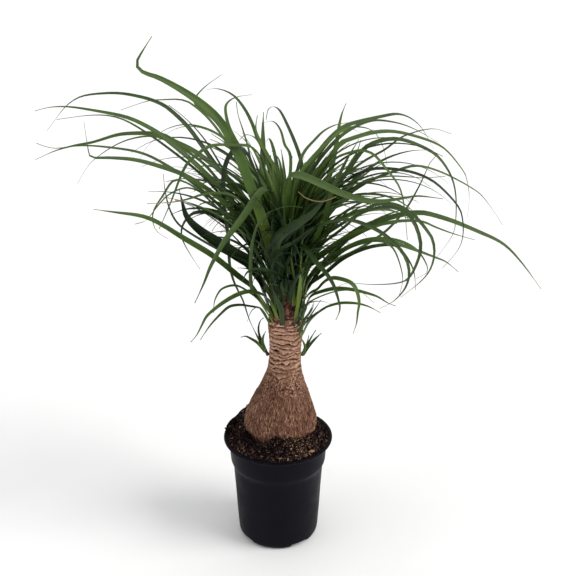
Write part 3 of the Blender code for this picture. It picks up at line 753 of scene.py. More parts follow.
def chip_wood(look):
    material, web, place = new_material("chip_wood", 0.85, 0.2)
    pale = web.mix(place.noise(420.0, 3.0), solid(look.chip, 0.5), solid(look.chip, 1.3))
    colour = web.mix(web.attribute("shade").spread(0.3, 0.9), solid(CHIP_DARK), pale)
    paint(web, colour, (place.noise(1500.0, 3.0), 0.5, 0.0004))
    return material


# Vector noise takes its seed from the clock until one is set.
CHIP_SEED = 3
CHIP_DARK = (0.045, 0.022, 0.016)
CHIP_JAG = 0.34
CHIP_THICK = 1.6
CHIP_LEAN = 0.18
CHIP_LIFT = 0.9

# The large chips that lie in front: x and y, length and width in millimetres, turn in degrees and shade.
LARGE_CHIPS = (
    (42.0, -41.0, 6.2, 4.4, 25.0, 0.95), (2.0, -56.0, 5.4, 2.2, -8.0, 0.85),
    (10.0, -42.0, 3.8, 1.4, 30.0, 0.75), (-43.0, -39.0, 3.6, 1.4, 40.0, 0.85),
    (-36.0, -45.0, 3.2, 1.2, 20.0, 0.8), (-49.0, 5.0, 2.4, 2.0, 10.0, 1.0),
    (30.0, -44.0, 3.2, 2.0, 70.0, 0.7), (22.0, -53.0, 2.8, 1.8, 15.0, 0.55),
    (53.0, -12.0, 2.6, 1.5, 60.0, 0.5), (-20.0, -52.0, 3.0, 1.3, -35.0, 0.55),
    (17.0, -47.0, 2.4, 1.4, 50.0, 0.8), (35.0, -36.0, 2.2, 1.4, -20.0, 0.65),
)


def large_chips(name, material):
    """Chips of wood at listed places, each a jagged block lying on the soil."""
    height = soil_top()
    shape = bmesh.new()
    shades = []
    noise.seed_set(CHIP_SEED)
    for index, (x, y, long, wide, turn, shade) in enumerate(LARGE_CHIPS):
        first = len(shape.edges)
        bmesh.ops.create_cube(shape, size=1.0)
        bmesh.ops.subdivide_edges(shape, edges=shape.edges[first:], cuts=2, use_grid_fill=True)
        top = height(x, y)
        top = BESIDE_SOIL if top is None else top
        z = top + loose(x, y, top) + crumbly(x, y) + CHIP_LIFT
        way = math.radians(turn)
        for vertex in shape.verts[len(shades):]:
            spot = vertex.co.copy()
            spot += noise.noise_vector(spot * 1.9 + Vector((index * 7.0, 0.0, 0.0))) * CHIP_JAG
            px, py = spot.x * long, spot.y * wide
            vertex.co = Vector((
                x + px * math.cos(way) - py * math.sin(way), y + px * math.sin(way) + py * math.cos(way),
                z + spot.z * CHIP_THICK + CHIP_LEAN * px)) * MM
            shades.append(shade)
    made = mesh_object(name)
    shape.to_mesh(made.data)
    shape.free()
    add_values(made, shade=shades)
    outward(made)
    made.data.materials.append(material)
    return made


class PALM_OT_litter(bpy.types.Operator):
    """Scatters lumps, crumbs, bark chips and fibres over the peat"""

    bl_idname = "palm.litter"
    bl_label = "Lumps, crumbs, chips and fibres"

    def execute(self, context):
        look = context.scene.palm_soil
        crumb = peat("peat_crumb", look, 1.25)
        wood = chip_wood(look)
        size = look.crumb_size
        rows = (
            (soil_face("peat_lumps", everywhere), "crumb", look.lumps, look.lump_size, 0.0004, 17, crumb),
            (soil_face("peat_crumbs", everywhere), "crumb", look.crumbs, size, 0.0006, 11, crumb),
            (soil_face("bark_crumbs", front_right), "crumb", look.crumbs * 0.8, size * 0.8, 0.0012, 43,
             wood),
            (soil_face("wood_chips", more_in_front), "chip", look.chips, 0.0014, 0.0012, 23, wood),
            (soil_face("wood_fibres", more_in_front), "fibre", look.fibres, 0.0027, 0.0012, 31, wood),
            (rim_face("spilled_peat"), "crumb", look.crumbs * 1.1, 0.0018, 0.0002, 71, crumb),
        )
        for face, kind, density, size, lift, seed, material in rows:
            grow(face, litter_tree(face.name, kind), Density=density * DECIMETRES, Size=size, Lift=lift,
                 Seed=seed, Material=material)
            seat(face)
        seat(large_chips("large_chips", wood))
        return {"FINISHED"}


# Trunk

BARK_COLUMNS = 230
BARK_STEP = 0.9
BARK_SMOOTHING = 4.0
BULB_RADIUS = 46.0
NECK_RADIUS = 20.0
FLAKES_RADIUS = 30.0

# The heights in millimetres between which each part of the bark's look comes in or goes out.
NECK_IN = (214.0, 246.0)
FLAKES_IN = (198.0, 216.0)
FLAKES_OUT = (252.0, 230.0)
FLAKE_HIGHLIGHT_IN = (192.0, 222.0)
FLAKE_HIGHLIGHT_OUT = (256.0, 232.0)
SHEATH_IN = (306.0, 320.0)
FRESH_IN = (338.0, 375.0)
STAIN_OUT = (170.0, 166.0)
RELIEF_OUT = (385.0, 402.0)

# The way to the pale flaking place over the bulb's right shoulder, on the lit side: its flakes are lightened
# there as a painted highlight.
FLAKE_HIGHLIGHT_WAY = (0.64, -0.77, 0.0)

# Colours of the neck's dry sheaths, of their grooves, of the fresh cone and of the soil's stain.
SHEATH = (0.12, 0.036, 0.030)
SHEATH_DEEP = (0.016, 0.006, 0.006)
FRESH = (0.022, 0.040, 0.010)
STAIN = (0.020, 0.011, 0.009)


class BarkLook(bpy.types.PropertyGroup):
    dark: colour_of("Groove colour", "Colour in the grooves and cracks", (0.030, 0.011, 0.006))
    middle: colour_of("Bark colour", "Colour of most of the bulb", (0.157, 0.073, 0.047))
    light: colour_of("Fleck colour", "Colour of the bulb's corky flecks", (0.46, 0.29, 0.19))
    neck: colour_of("Neck colour", "Colour of the neck between its ring scars", (0.27, 0.145, 0.092))
    streak_depth: length_of("Streak depth", "Height of the bulb's upright corky streaks", 0.0009, 0.0, 0.004)
    ring_depth: length_of("Ring depth", "Height of the neck's ring scars", 0.001, 0.0, 0.004)
    ring_spacing: length_of("Ring spacing", "Distance from one ring scar to the next", 0.0058, 0.002, 0.02)


def trunk_lines():
    """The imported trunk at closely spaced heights, in millimetres: rows of (z, middle x and y, radius)."""
    rows = {}
    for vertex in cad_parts["trunk"].data.vertices:
        rows.setdefault(round(vertex.co.z / MM, 1), []).append((vertex.co.x / MM, vertex.co.y / MM))
    heights = sorted(rows)
    middles = [np.mean(rows[z], axis=0) for z in heights]
    radii = [float(np.hypot(*(np.array(rows[z]) - middle).T).mean()) for z, middle in zip(heights, middles)]
    fine = np.arange(heights[0], heights[-1] + 0.01, BARK_STEP)
    span = int(BARK_SMOOTHING / BARK_STEP)
    window = np.ones(2 * span + 1) / (2 * span + 1)
    columns = [fine]
    for values in ([m[0] for m in middles], [m[1] for m in middles], radii):
        line = np.interp(fine, heights, values)
        before = 2.0 * line[0] - line[span:0:-1]
        after = 2.0 * line[-1] - line[-2:-span - 2:-1]
        padded = np.concatenate((before, line, after))
        columns.append(np.convolve(padded, window, "valid"))
    return np.array(columns).T


TRUNK = trunk_lines()


def trunk_radius(z):
    return float(np.interp(z, TRUNK[:, 0], TRUNK[:, 3]))


def trunk_middle(z):
    return float(np.interp(z, TRUNK[:, 0], TRUNK[:, 1])), float(np.interp(z, TRUNK[:, 0], TRUNK[:, 2]))


Bark = namedtuple("Bark", "bulb flakes ring neck flaky")


def bark_pattern(web, around, height, spacing):
    """The bark's relief, worked out on the unrolled trunk: the same in the mesh and in the material.

    Around is the way out from the trunk's middle. Height and spacing are in millimetres.
    """
    cx, cy, _ = around.split()

    def grain(radius, across, along, shift=0.0, detail=2.0, roughness=0.5):
        """Noise on the unrolled bark. Across and along are the size of a feature in millimetres."""
        wide = radius / across
        return web.combine(cx * wide, cy * wide, height / along + shift).noise(1.0, detail, roughness)

    def edges(saw, rise, fall):
        """High at both ends of each tooth of a saw."""
        return web.math("MAXIMUM", saw.spread(0.0, rise, 1.0, 0.0), saw.spread(fall, 1.0))

    edge = height + (grain(32.0, 13.0, 15.0, 0.0, 3.0, 0.6) - 0.5) * 46.0
    neck = edge.spread(*NECK_IN)
    flaky = edge.spread(*FLAKES_IN) * edge.spread(*FLAKES_OUT)

    streaks = grain(BULB_RADIUS, 1.0, 5.0).centred(0.34, 0.66)
    long = grain(BULB_RADIUS, 3.0, 11.0, 3.0).centred(0.32, 0.68)
    flecks = grain(BULB_RADIUS, 1.1, 3.2, 9.0).spread(0.56, 0.70)
    pits = grain(BULB_RADIUS, 1.5, 2.9, 21.0, 2.0, 0.6).spread(0.42, 0.30)
    bulb = streaks * 0.95 + long * 0.35 + flecks * 0.35 - pits * 0.85

    holes = grain(FLAKES_RADIUS, 4.2, 3.4, 5.0, 2.0, 0.6).spread(0.42, 0.33)
    flakes = grain(FLAKES_RADIUS, 1.9, 2.2, 0.0, 4.0, 0.7).centred(0.38, 0.62) - holes * 1.1

    drift = grain(NECK_RADIUS, 24.0, 13.0, 4.0)
    waver = grain(NECK_RADIUS, 8.5, 7.0, 2.0, 2.0, 0.6)
    phase = height / spacing + drift * 2.6 + waver * 1.0
    saw = web.math("FRACT", phase)
    broken = grain(NECK_RADIUS, 9.0, 3.4, 11.0, 3.0, 0.65).spread(0.42, 0.58)
    groove = edges(saw, 0.21, 0.86) * (0.12 + broken * 1.15)
    patchy = grain(NECK_RADIUS, 5.5, 3.0, 31.0, 3.0, 0.65).spread(0.46, 0.62)
    finer = edges(web.math("FRACT", phase * 2.3 + waver * 1.1), 0.2, 0.82) * patchy
    ridge = saw.spread(0.16, 0.34) * saw.spread(0.9, 0.36)
    torn = grain(NECK_RADIUS, 2.4, 1.7, 0.0, 4.0, 0.7).centred(0.34, 0.66)
    ring = ridge * 0.42 - groove - finer * 0.60 + torn * 0.60
    return Bark(bulb, flakes, ring, neck, flaky)


def bark_tree():
    """Raises bark on the trunk: corky streaks on the bulb, flakes over it, ring scars on the neck."""
    web, given = new_tree("Bark", Streak_Depth="Float", Ring_Depth="Float", Ring_Spacing="Float")
    around = web.stored("around", "FLOAT_VECTOR")
    place = web.geo("InputPosition")
    height = place.split()[2] / MM
    part = bark_pattern(web, around, height, given["Ring Spacing"] / MM)
    on_bulb = 1.0 - part.neck
    deep = part.bulb * on_bulb * given["Streak Depth"]
    rings = part.ring * part.neck * given["Ring Depth"]
    rough = part.flakes * part.flaky * given["Ring Depth"]
    lumps = (place.noise(52.0) - 0.5) * (1.1 * MM + on_bulb * (1.6 * MM))
    offset = (deep + rings + (rough + lumps)) * height.spread(*RELIEF_OUT, 1.0, 0.0)
    raised = web.geo("SetPosition", Geometry=given["Geometry"], Offset=around.scaled(offset))
    return end_tree(web, given, raised)


def bark(look):
    material, web, place = new_material("ringed_bark", 0.9, 0.05)
    around = web.attribute("around", "Vector")
    height = place.split()[2] / MM
    part = bark_pattern(web, around, height, look.ring_spacing / MM)
    fine = place.noise(900.0, 4.0, 0.65)
    cloud = fine * 0.35 + place.noise(40.0, 3.0, 0.55) * 0.55
    looks = (look.dark, look.middle, look.light, look.neck)
    dark, middle, light, neck = (solid(colour) for colour in looks)
    pale = solid([min(1.0, 0.08 + c * 2.05) for c in look.neck])
    between = solid([0.5 * d + 0.3 * n for d, n in zip(look.dark, look.neck)])
    bulb = (part.bulb * 0.62 + cloud).ramp((0.12, dark), (0.39, middle), (0.56, middle), (0.90, light))
    rings = part.ring * 0.55 + (cloud + 0.06)
    rings = rings.ramp((0.10, dark), (0.30, between), (0.44, neck), (0.54, neck), (0.78, pale))
    flakes = (part.flakes * 0.66 + cloud).ramp((0.08, dark), (0.36, middle), (0.56, neck), (0.85, pale))
    colour = web.mix(part.neck, bulb, rings)
    colour = web.mix(part.flaky * 0.85, colour, flakes)
    # Painted highlight: the pale flakes on the bulb's front right shoulder, on the lit side, are mixed
    # further towards the pale colour.
    facing = web.vector("DOT_PRODUCT", around, FLAKE_HIGHLIGHT_WAY).spread(0.84, 1.0)
    flake_highlight = height.spread(*FLAKE_HIGHLIGHT_IN) * height.spread(*FLAKE_HIGHLIGHT_OUT) * facing * part.flakes.spread(-0.2, 0.5)
    colour = web.mix(flake_highlight * 0.6, colour, pale)
    dry = web.mix(part.ring.spread(-0.5, 0.5), solid(SHEATH_DEEP), solid(SHEATH))
    colour = web.mix(height.spread(*SHEATH_IN) * 0.92, colour, dry)
    colour = web.mix(height.spread(*FRESH_IN), colour, solid(FRESH))
    smudge = height + place.noise(95.0, 3.0, 0.6) * 26.0
    colour = web.mix(smudge.spread(*STAIN_OUT) * 0.85, colour, solid(STAIN))
    relief = web.mix(part.neck, part.bulb, part.ring) * 0.9 + fine * 0.8
    paint(web, colour, (relief, 0.75, 0.0007), fine.spread(0.3, 0.7, 0.76, 0.93))
    return material


class PALM_OT_trunk(bpy.types.Operator):
    """Builds the bulb and the ringed neck with their bark"""

    bl_idname = "palm.trunk"
    bl_label = "Bulb and neck"

    def execute(self, context):
        look = context.scene.palm_bark
        trunk = tube("bulb_and_neck", [circle(radius, z, BARK_COLUMNS, x, y) for z, x, y, radius in TRUNK])
        ways = [(math.cos(turn), math.sin(turn), 0.0) for turn in full_turn(BARK_COLUMNS)]
        add_values(trunk, around=ways * len(TRUNK))
        grow(trunk, bark_tree(), Streak_Depth=look.streak_depth, Ring_Depth=look.ring_depth,
             Ring_Spacing=look.ring_spacing, Material=bark(look))
        smooth(trunk)
        seat(trunk, ("trunk",))
        return {"FINISHED"}


# Dry leaf bases on the top of the neck.
SCALE_LOW = 284.0
SCALE_HIGH = 342.0
SCALE_TURN = 137.5
SCALE_SINK = 0.2
SCALE_SEED = 5
DRY_EDGE = (0.24, 0.12, 0.075)


class ScaleLook(bpy.types.PropertyGroup):
    count: number_of("Count", "How many dry leaf bases clasp the neck", 150, 400)
    width: length_of("Width", "Half the width of a leaf base", 0.0046, 0.001, 0.02)
    height: length_of("Height", "How tall a leaf base stands", 0.0075, 0.001, 0.03)
    colour: colour_of("Dry colour", "Colour of the dry leaf bases", (0.105, 0.034, 0.026))


def scale_tree():
    """Sets a torn, clasping leaf base at each point, with its back to the stem."""
    web, given = new_tree("Dry leaf bases", Width="Float", Height="Float", Seed="Int")
    seed = given["Seed"]
    body = web.geo("MeshCube", Size=(2.0, 1.0, 0.09), Vertices_X=7, Vertices_Y=5, Vertices_Z=2)
    x, y, z = web.geo("InputPosition").split()
    rise = y + 0.5
    across = x * (1.0 - rise**1.4 * 0.82)
    out = z + across * across * -0.36 + rise**2.0 * 0.16
    body = web.geo("SetPosition", Geometry=body, Position=web.combine(across, rise, out))
    inputs = {"Primary Axis": web.stored("around", "FLOAT_VECTOR"), "Secondary Axis": (0.0, 0.0, 1.0)}
    upright = web.node("FunctionNodeAxesToRotation", inputs, primary_axis="Z", secondary_axis="Y")
    tilt = web.chance((-0.16, -0.22, -0.30), (0.05, 0.22, 0.30), seed)
    tilt = web.node("FunctionNodeEulerToRotation", {0: tilt})
    turned = web.node("FunctionNodeRotateRotation", {0: upright, 1: tilt}, rotation_space="LOCAL")
    wide = given["Width"] * web.chance(0.7, 1.25, seed + 1.0)
    size = web.combine(wide, given["Height"] * web.chance(0.55, 1.35, seed + 2.0), wide)
    points = web.geo("MeshToPoints", Mesh=given["Geometry"])
    points = points.store("shade", web.chance(0.0, 1.0, seed + 4.0))
    copies = web.geo("InstanceOnPoints", Points=points, Instance=body, Rotation=turned, Scale=size)
    real = web.geo("RealizeInstances", Geometry=copies)
    return end_tree(web, given, web.geo("SetPosition", Geometry=real, Offset=web.uneven(420.0, 0.0022)))


def dry_base(look):
    material, web, place = new_material("dry_base", 0.8, 0.25)
    grain = place.noise(700.0, 4.0, 0.6)
    level = web.attribute("shade") * 0.6 + grain * 0.5
    deep = solid(look.colour, 0.16)
    colour = level.ramp((0.2, deep), (0.55, solid(look.colour)), (0.95, solid(DRY_EDGE)))
    paint(web, colour, (grain, 0.5, 0.0005))
    return material


class PALM_OT_scales(bpy.types.Operator):
    """Sets the dry leaf bases round the top of the neck"""

    bl_idname = "palm.scales"
    bl_label = "Dry leaf bases"

    def execute(self, context):
        look = context.scene.palm_scales
        points, around = [], []
        for index in range(look.count):
            z = SCALE_LOW + (SCALE_HIGH - SCALE_LOW) * index / max(look.count - 1, 1)
            turn = math.radians(SCALE_TURN * index)
            way = (math.cos(turn), math.sin(turn), 0.0)
            x, y = trunk_middle(z)
            radius = trunk_radius(z) - SCALE_SINK
            points.append(((x + radius * way[0]) * MM, (y + radius * way[1]) * MM, z * MM))
            around.append(way)
        scales = mesh_object("dry_leaf_bases", points)
        add_values(scales, around=around)
        grow(scales, scale_tree(), Width=look.width, Height=look.height, Seed=SCALE_SEED,
             Material=dry_base(look))
        smooth(scales)
        seat(scales)
        return {"FINISHED"}


# Leaves

BASE_RUN = 7.0
BASE_SINK = 1.2
BASE_SHARES = (0.2, 0.5, 0.75, 0.92)
TIP_HALF = 0.5
YOUNG_SHARE = 0.11
SHOWN_RINGS = 40
FILL_RINGS = 26
SHOOT_RINGS = 22
UNDERSIDE = (0.020, 0.042, 0.012)
LEAF_SEED = 4
TINT_LEAST = 0.28
TINT_MOST = 0.74
SHOWN_DRY = 0.12
SHOWN_FACING = 0.45


class LeafLook(bpy.types.PropertyGroup):
    dark: colour_of("Dark green", "Colour of the darkest leaves", (0.0062, 0.0190, 0.0055))
    light: colour_of("Light green", "Colour of the palest leaves", (0.098, 0.178, 0.027))
    base: colour_of("Base colour", "Colour of a leaf where it leaves the stem", (0.16, 0.23, 0.028))
    tip: colour_of("Dry tip colour", "Colour of a dry leaf tip", (0.25, 0.16, 0.085))
    roughness: share_of("Roughness", "How matt the waxy leaf is", 0.46)
    channel: share_of(
        "Channel", "Rise of a leaf's edges over its midrib, as a share of half its width", 0.48)
    thickness: share_of(
        "Thickness", "Thickness of a leaf, as a share of half its width", 0.085, 0.01, 0.5)
    rings: number_of("Steps along", "How many steps a leaf has along its length", 52, 96, 8)


# One leaf to be: points in metres from base to tip, ways across, half widths, shade, dry tip, pale base.
Strand = namedtuple("Strand", "points sides halves tint dry young")


def leaf_tree():
    """Draws a channelled strap leaf along each line of a mesh.

    Each point of a line stores the way across the leaf, half its width and how far along it is.
    """
    web, given = new_tree("Strap leaf", Steps="Int", Channel="Float", Thickness="Float")
    lines = web.geo("MeshToCurve", Mesh=given["Geometry"])
    lines = web.geo("CurveSplineType", {"spline_type": "CATMULL_ROM"}, Curve=lines)
    lines = web.geo("ResampleCurve", {"mode": "COUNT"}, Curve=lines, Count=given["Steps"])
    side = web.vector("NORMALIZE", web.stored("side", "FLOAT_VECTOR"))
    lines = web.geo("SetCurveNormal", {"mode": "FREE"}, Curve=lines, Normal=side)

    ring = web.geo("CurvePrimitiveCircle", {"mode": "RADIUS"}, Resolution=12, Radius=1.0)
    x, y, _ = web.geo("InputPosition").split()
    wide = web.math("SIGN", x) * abs(x) ** 0.62
    thick = y * (given["Thickness"] * 0.5)
    rib = abs(wide).spread(0.3, 0.0) * (thick * 0.7)
    level = thick + rib - abs(wide) ** 1.25 * given["Channel"]
    ring = web.geo("SetPosition", Geometry=ring, Position=web.combine(wide, level, 0.0))
    ring = ring.store("across", wide).store("under", y.spread(-0.05, 0.05))

    half = web.math("MAXIMUM", web.stored("half"), TIP_HALF * MM)
    blades = web.geo("CurveToMesh", Curve=lines, Profile_Curve=ring, Scale=half, Fill_Caps=True)
    return end_tree(web, given, web.geo("SetShadeSmooth", Geometry=blades))


def leaf_green(name, look, lightness=1.0):
    material, web, place = new_material(name, look.roughness, 0.30)
    labels = ("along", "across", "tint", "dry", "under", "young")
    along, across, tint, dry, under, young = (web.attribute(label) for label in labels)
    off = abs(across)
    veins = web.combine(across * 9.0, along * 2.5, tint * 90.0).noise(1.0, 3.0, 0.6)
    clouds = place.noise(48.0, 3.0, 0.55)
    level = tint + (clouds - 0.5) * 0.7 + (veins - 0.5) * 0.55
    level = level + off.spread(0.16, 0.0) * 0.10 + off.spread(0.86, 1.0) * 0.16
    middle = solid([0.55 * a + 0.45 * b for a, b in zip(look.dark, look.light)], lightness)
    dark, light = solid(look.dark, lightness), solid(look.light, lightness)
    colour = level.ramp((0.0, dark), (0.48, middle), (1.0, light))
    colour = web.mix(under * 0.35, colour, solid(UNDERSIDE, lightness))
    near = (along / web.math("MAXIMUM", young, 0.01)).spread(1.6, 0.25) * tint.spread(-0.1, 0.6, 0.25, 1.0)
    colour = web.mix(near * 0.85, colour, solid(look.base))
    ragged = along + (veins - 0.5) * 0.05
    gone = web.math("DIVIDE", ragged - (1.0 - dry * 0.22), 0.03, clamp=True)
    colour = web.mix(gone * web.math("MULTIPLY", dry, 3.0, clamp=True), colour, solid(look.tip))
    rough = clouds.spread(0.3, 0.7, look.roughness - 0.06, look.roughness + 0.10) + under * 0.12
    paint(web, colour, (web.combine(across * 26.0, along * 3.0, tint).noise(1.0), 0.35, 0.0003), rough)
    return material


def green_material(name, look, lightness=1.0):
    return bpy.data.materials.get(name) or leaf_green(name, look, lightness)


def shares_along(points):
    """How far along a line each of its points is."""
    run = [0.0]
    for a, b in zip(points, points[1:]):
        run.append(run[-1] + (b - a).length)
    return [length / run[-1] for length in run]


def leaf_piece(name, strands, look, material, steps):
    """One piece that holds a leaf for each strand."""
    points, edges, sides = [], [], []
    values = {"half": [], "along": [], "tint": [], "dry": [], "young": []}
    for strand in strands:
        count = len(strand.points)
        edges += [(len(points) + i, len(points) + i + 1) for i in range(count - 1)]
        points += strand.points
        sides += [tuple(side) for side in strand.sides]
        values["half"] += strand.halves
        values["along"] += shares_along(strand.points)
        for label in ("tint", "dry", "young"):
            values[label] += [getattr(strand, label)] * count
    piece = mesh_object(name, points, (), edges)
    add_values(piece, side=sides, **values)
    tree = bpy.data.node_groups.get("Strap leaf") or leaf_tree()
    return grow(piece, tree, Steps=steps, Channel=look.channel, Thickness=look.thickness, Material=material)


def blade_rings(node):
    """The tip of a packed blade and its rings of four points, from the tip to the base."""
    shape = bmesh.new()
    shape.from_mesh(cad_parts[node].data)
    bmesh.ops.remove_doubles(shape, verts=shape.verts[:], dist=0.02 * MM)
    shape.verts.ensure_lookup_table()
    shape.verts.index_update()
    near = [sorted(edge.other_vert(v).index for edge in v.link_edges) for v in shape.verts]
    places = [v.co.copy() for v in shape.verts]
    shape.free()
    for tip in range(len(near)):
        if len(near[tip]) != 4:
            continue
        seen, layer, rings = {tip}, [tip], []
        while layer:
            layer = sorted({other for v in layer for other in near[v]} - seen)
            seen |= set(layer)
            if layer:
                rings.append([places[i] for i in layer])
        if all(len(ring) == 4 for ring in rings):
            return places[tip], rings
    raise ValueError(f"{node} isn't rings of four points with a tip")


def ring_facts(ring):
    """A ring's middle on the midrib, its two edges and the rise from its midrib to its edges."""
    pairs = []
    for i, j in [(i, j) for i in range(4) for j in range(i)]:
        pairs.append((ring[i], ring[j], [ring[k] for k in range(4) if k not in (i, j)]))
    left, right, ribs = max(pairs, key=lambda pair: (pair[0] - pair[1]).length)
    middle = (ribs[0] + ribs[1]) / 2.0
    return middle, left, right, (left + right) / 2.0 - middle


def strand_of(node, tint, dry, young):
    """The strand that follows a packed blade, run on into the stem at its base."""
    tip, rings = blade_rings(node)
    facts = [ring_facts(ring) for ring in reversed(rings)]
    points = [fact[0] for fact in facts] + [tip]
    sides, halves = [], []
    for index, (_, left, right, rise) in enumerate(facts):
        way = (points[index + 1] - points[max(index - 1, 0)]).normalized()
        across = (left - right).normalized()
        side = way.cross((rise - way * rise.dot(way)).normalized())
        sides.append(across if across.dot(side) > 0.0 else -across)
        halves.append((left - right).length / 2.0)
    first = points[0]
    x, y = trunk_middle(first.z / MM)
    out = Vector((first.x - x * MM, first.y - y * MM, 0.0))
    low = first.z - BASE_RUN * MM
    radius = max(trunk_radius(low / MM) - BASE_SINK, 1.0) * MM
    points.insert(0, Vector((x * MM, y * MM, low)) + out.normalized() * radius)
    sides = [sides[0], *sides, sides[-1]]
    halves = [halves[0], *halves, 0.0]
    halves[:len(BASE_SHARES)] = [half * share for half, share in zip(halves, BASE_SHARES)]
    return Strand(points, sides, halves, tint, dry, young)


def of_leaves(**sides):
    """Values by the names of the leaves, from the values of each side's leaves by number."""
    return {f"leaf_{side}_{number:02d}": value for side in sides for number, value in sides[side].items()}


# How light each leaf is, where the photograph shows it clearly lighter or darker than the rest, the share
# of its length that is yellow-green at its base, and which tips are dry.
# The tints are partly each leaf's own tone and partly painted light: low tints paint shade on leaves that lie
# in shade, high ones paint a sheen on leaves that catch the light.
LEAF_TINTS = of_leaves(
    front={1: 0.58, 2: 0.62, 3: 0.42, 4: 0.14, 5: 0.45, 6: 0.18, 7: 0.14},
    left={1: 0.55, 4: 0.50, 7: 0.42, 9: 0.50, 13: 0.06, 14: 0.10, 15: 0.52, 16: 0.05},
    right={1: 0.42, 6: 0.08, 8: 0.66, 10: 0.50, 12: 0.62, 18: 0.15, 22: 0.45},
    back={3: 0.45},
)
PALE_BASES = of_leaves(
    front={1: 0.08, 2: 0.60, 5: 0.15, 6: 0.04},
    left={1: 0.25, 15: 0.16},
    right={8: 0.14, 10: 0.16, 17: 0.18, 22: 0.30},
)
DRY_TIPS = of_leaves(
    left={1: 0.2, 3: 0.35, 5: 0.25, 7: 0.3, 12: 0.75, 18: 0.2},
    right={4: 0.3, 7: 0.5, 10: 0.3, 14: 0.3},
)


class PALM_OT_leaves(bpy.types.Operator):
    """Draws every principal leaf of the crown along its packed blade"""

    bl_idname = "palm.leaves"
    bl_label = "Principal leaves"

    def execute(self, context):
        look = context.scene.palm_leaves
        green = green_material("strap_leaf_green", look)
        chance = random.Random(LEAF_SEED)
        for node in sorted(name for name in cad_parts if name.startswith("leaf_")):
            tint = LEAF_TINTS.get(node, chance.uniform(TINT_LEAST, TINT_MOST))
            dry = DRY_TIPS.get(node, chance.choice((0.0, 0.08, 0.16)))
            strand = strand_of(node, tint, dry, PALE_BASES.get(node, YOUNG_SHARE))
            piece = leaf_piece(node.replace("leaf", "blade"), [strand], look, green, look.rings)
            seat(piece, (node,))
        return {"FINISHED"}
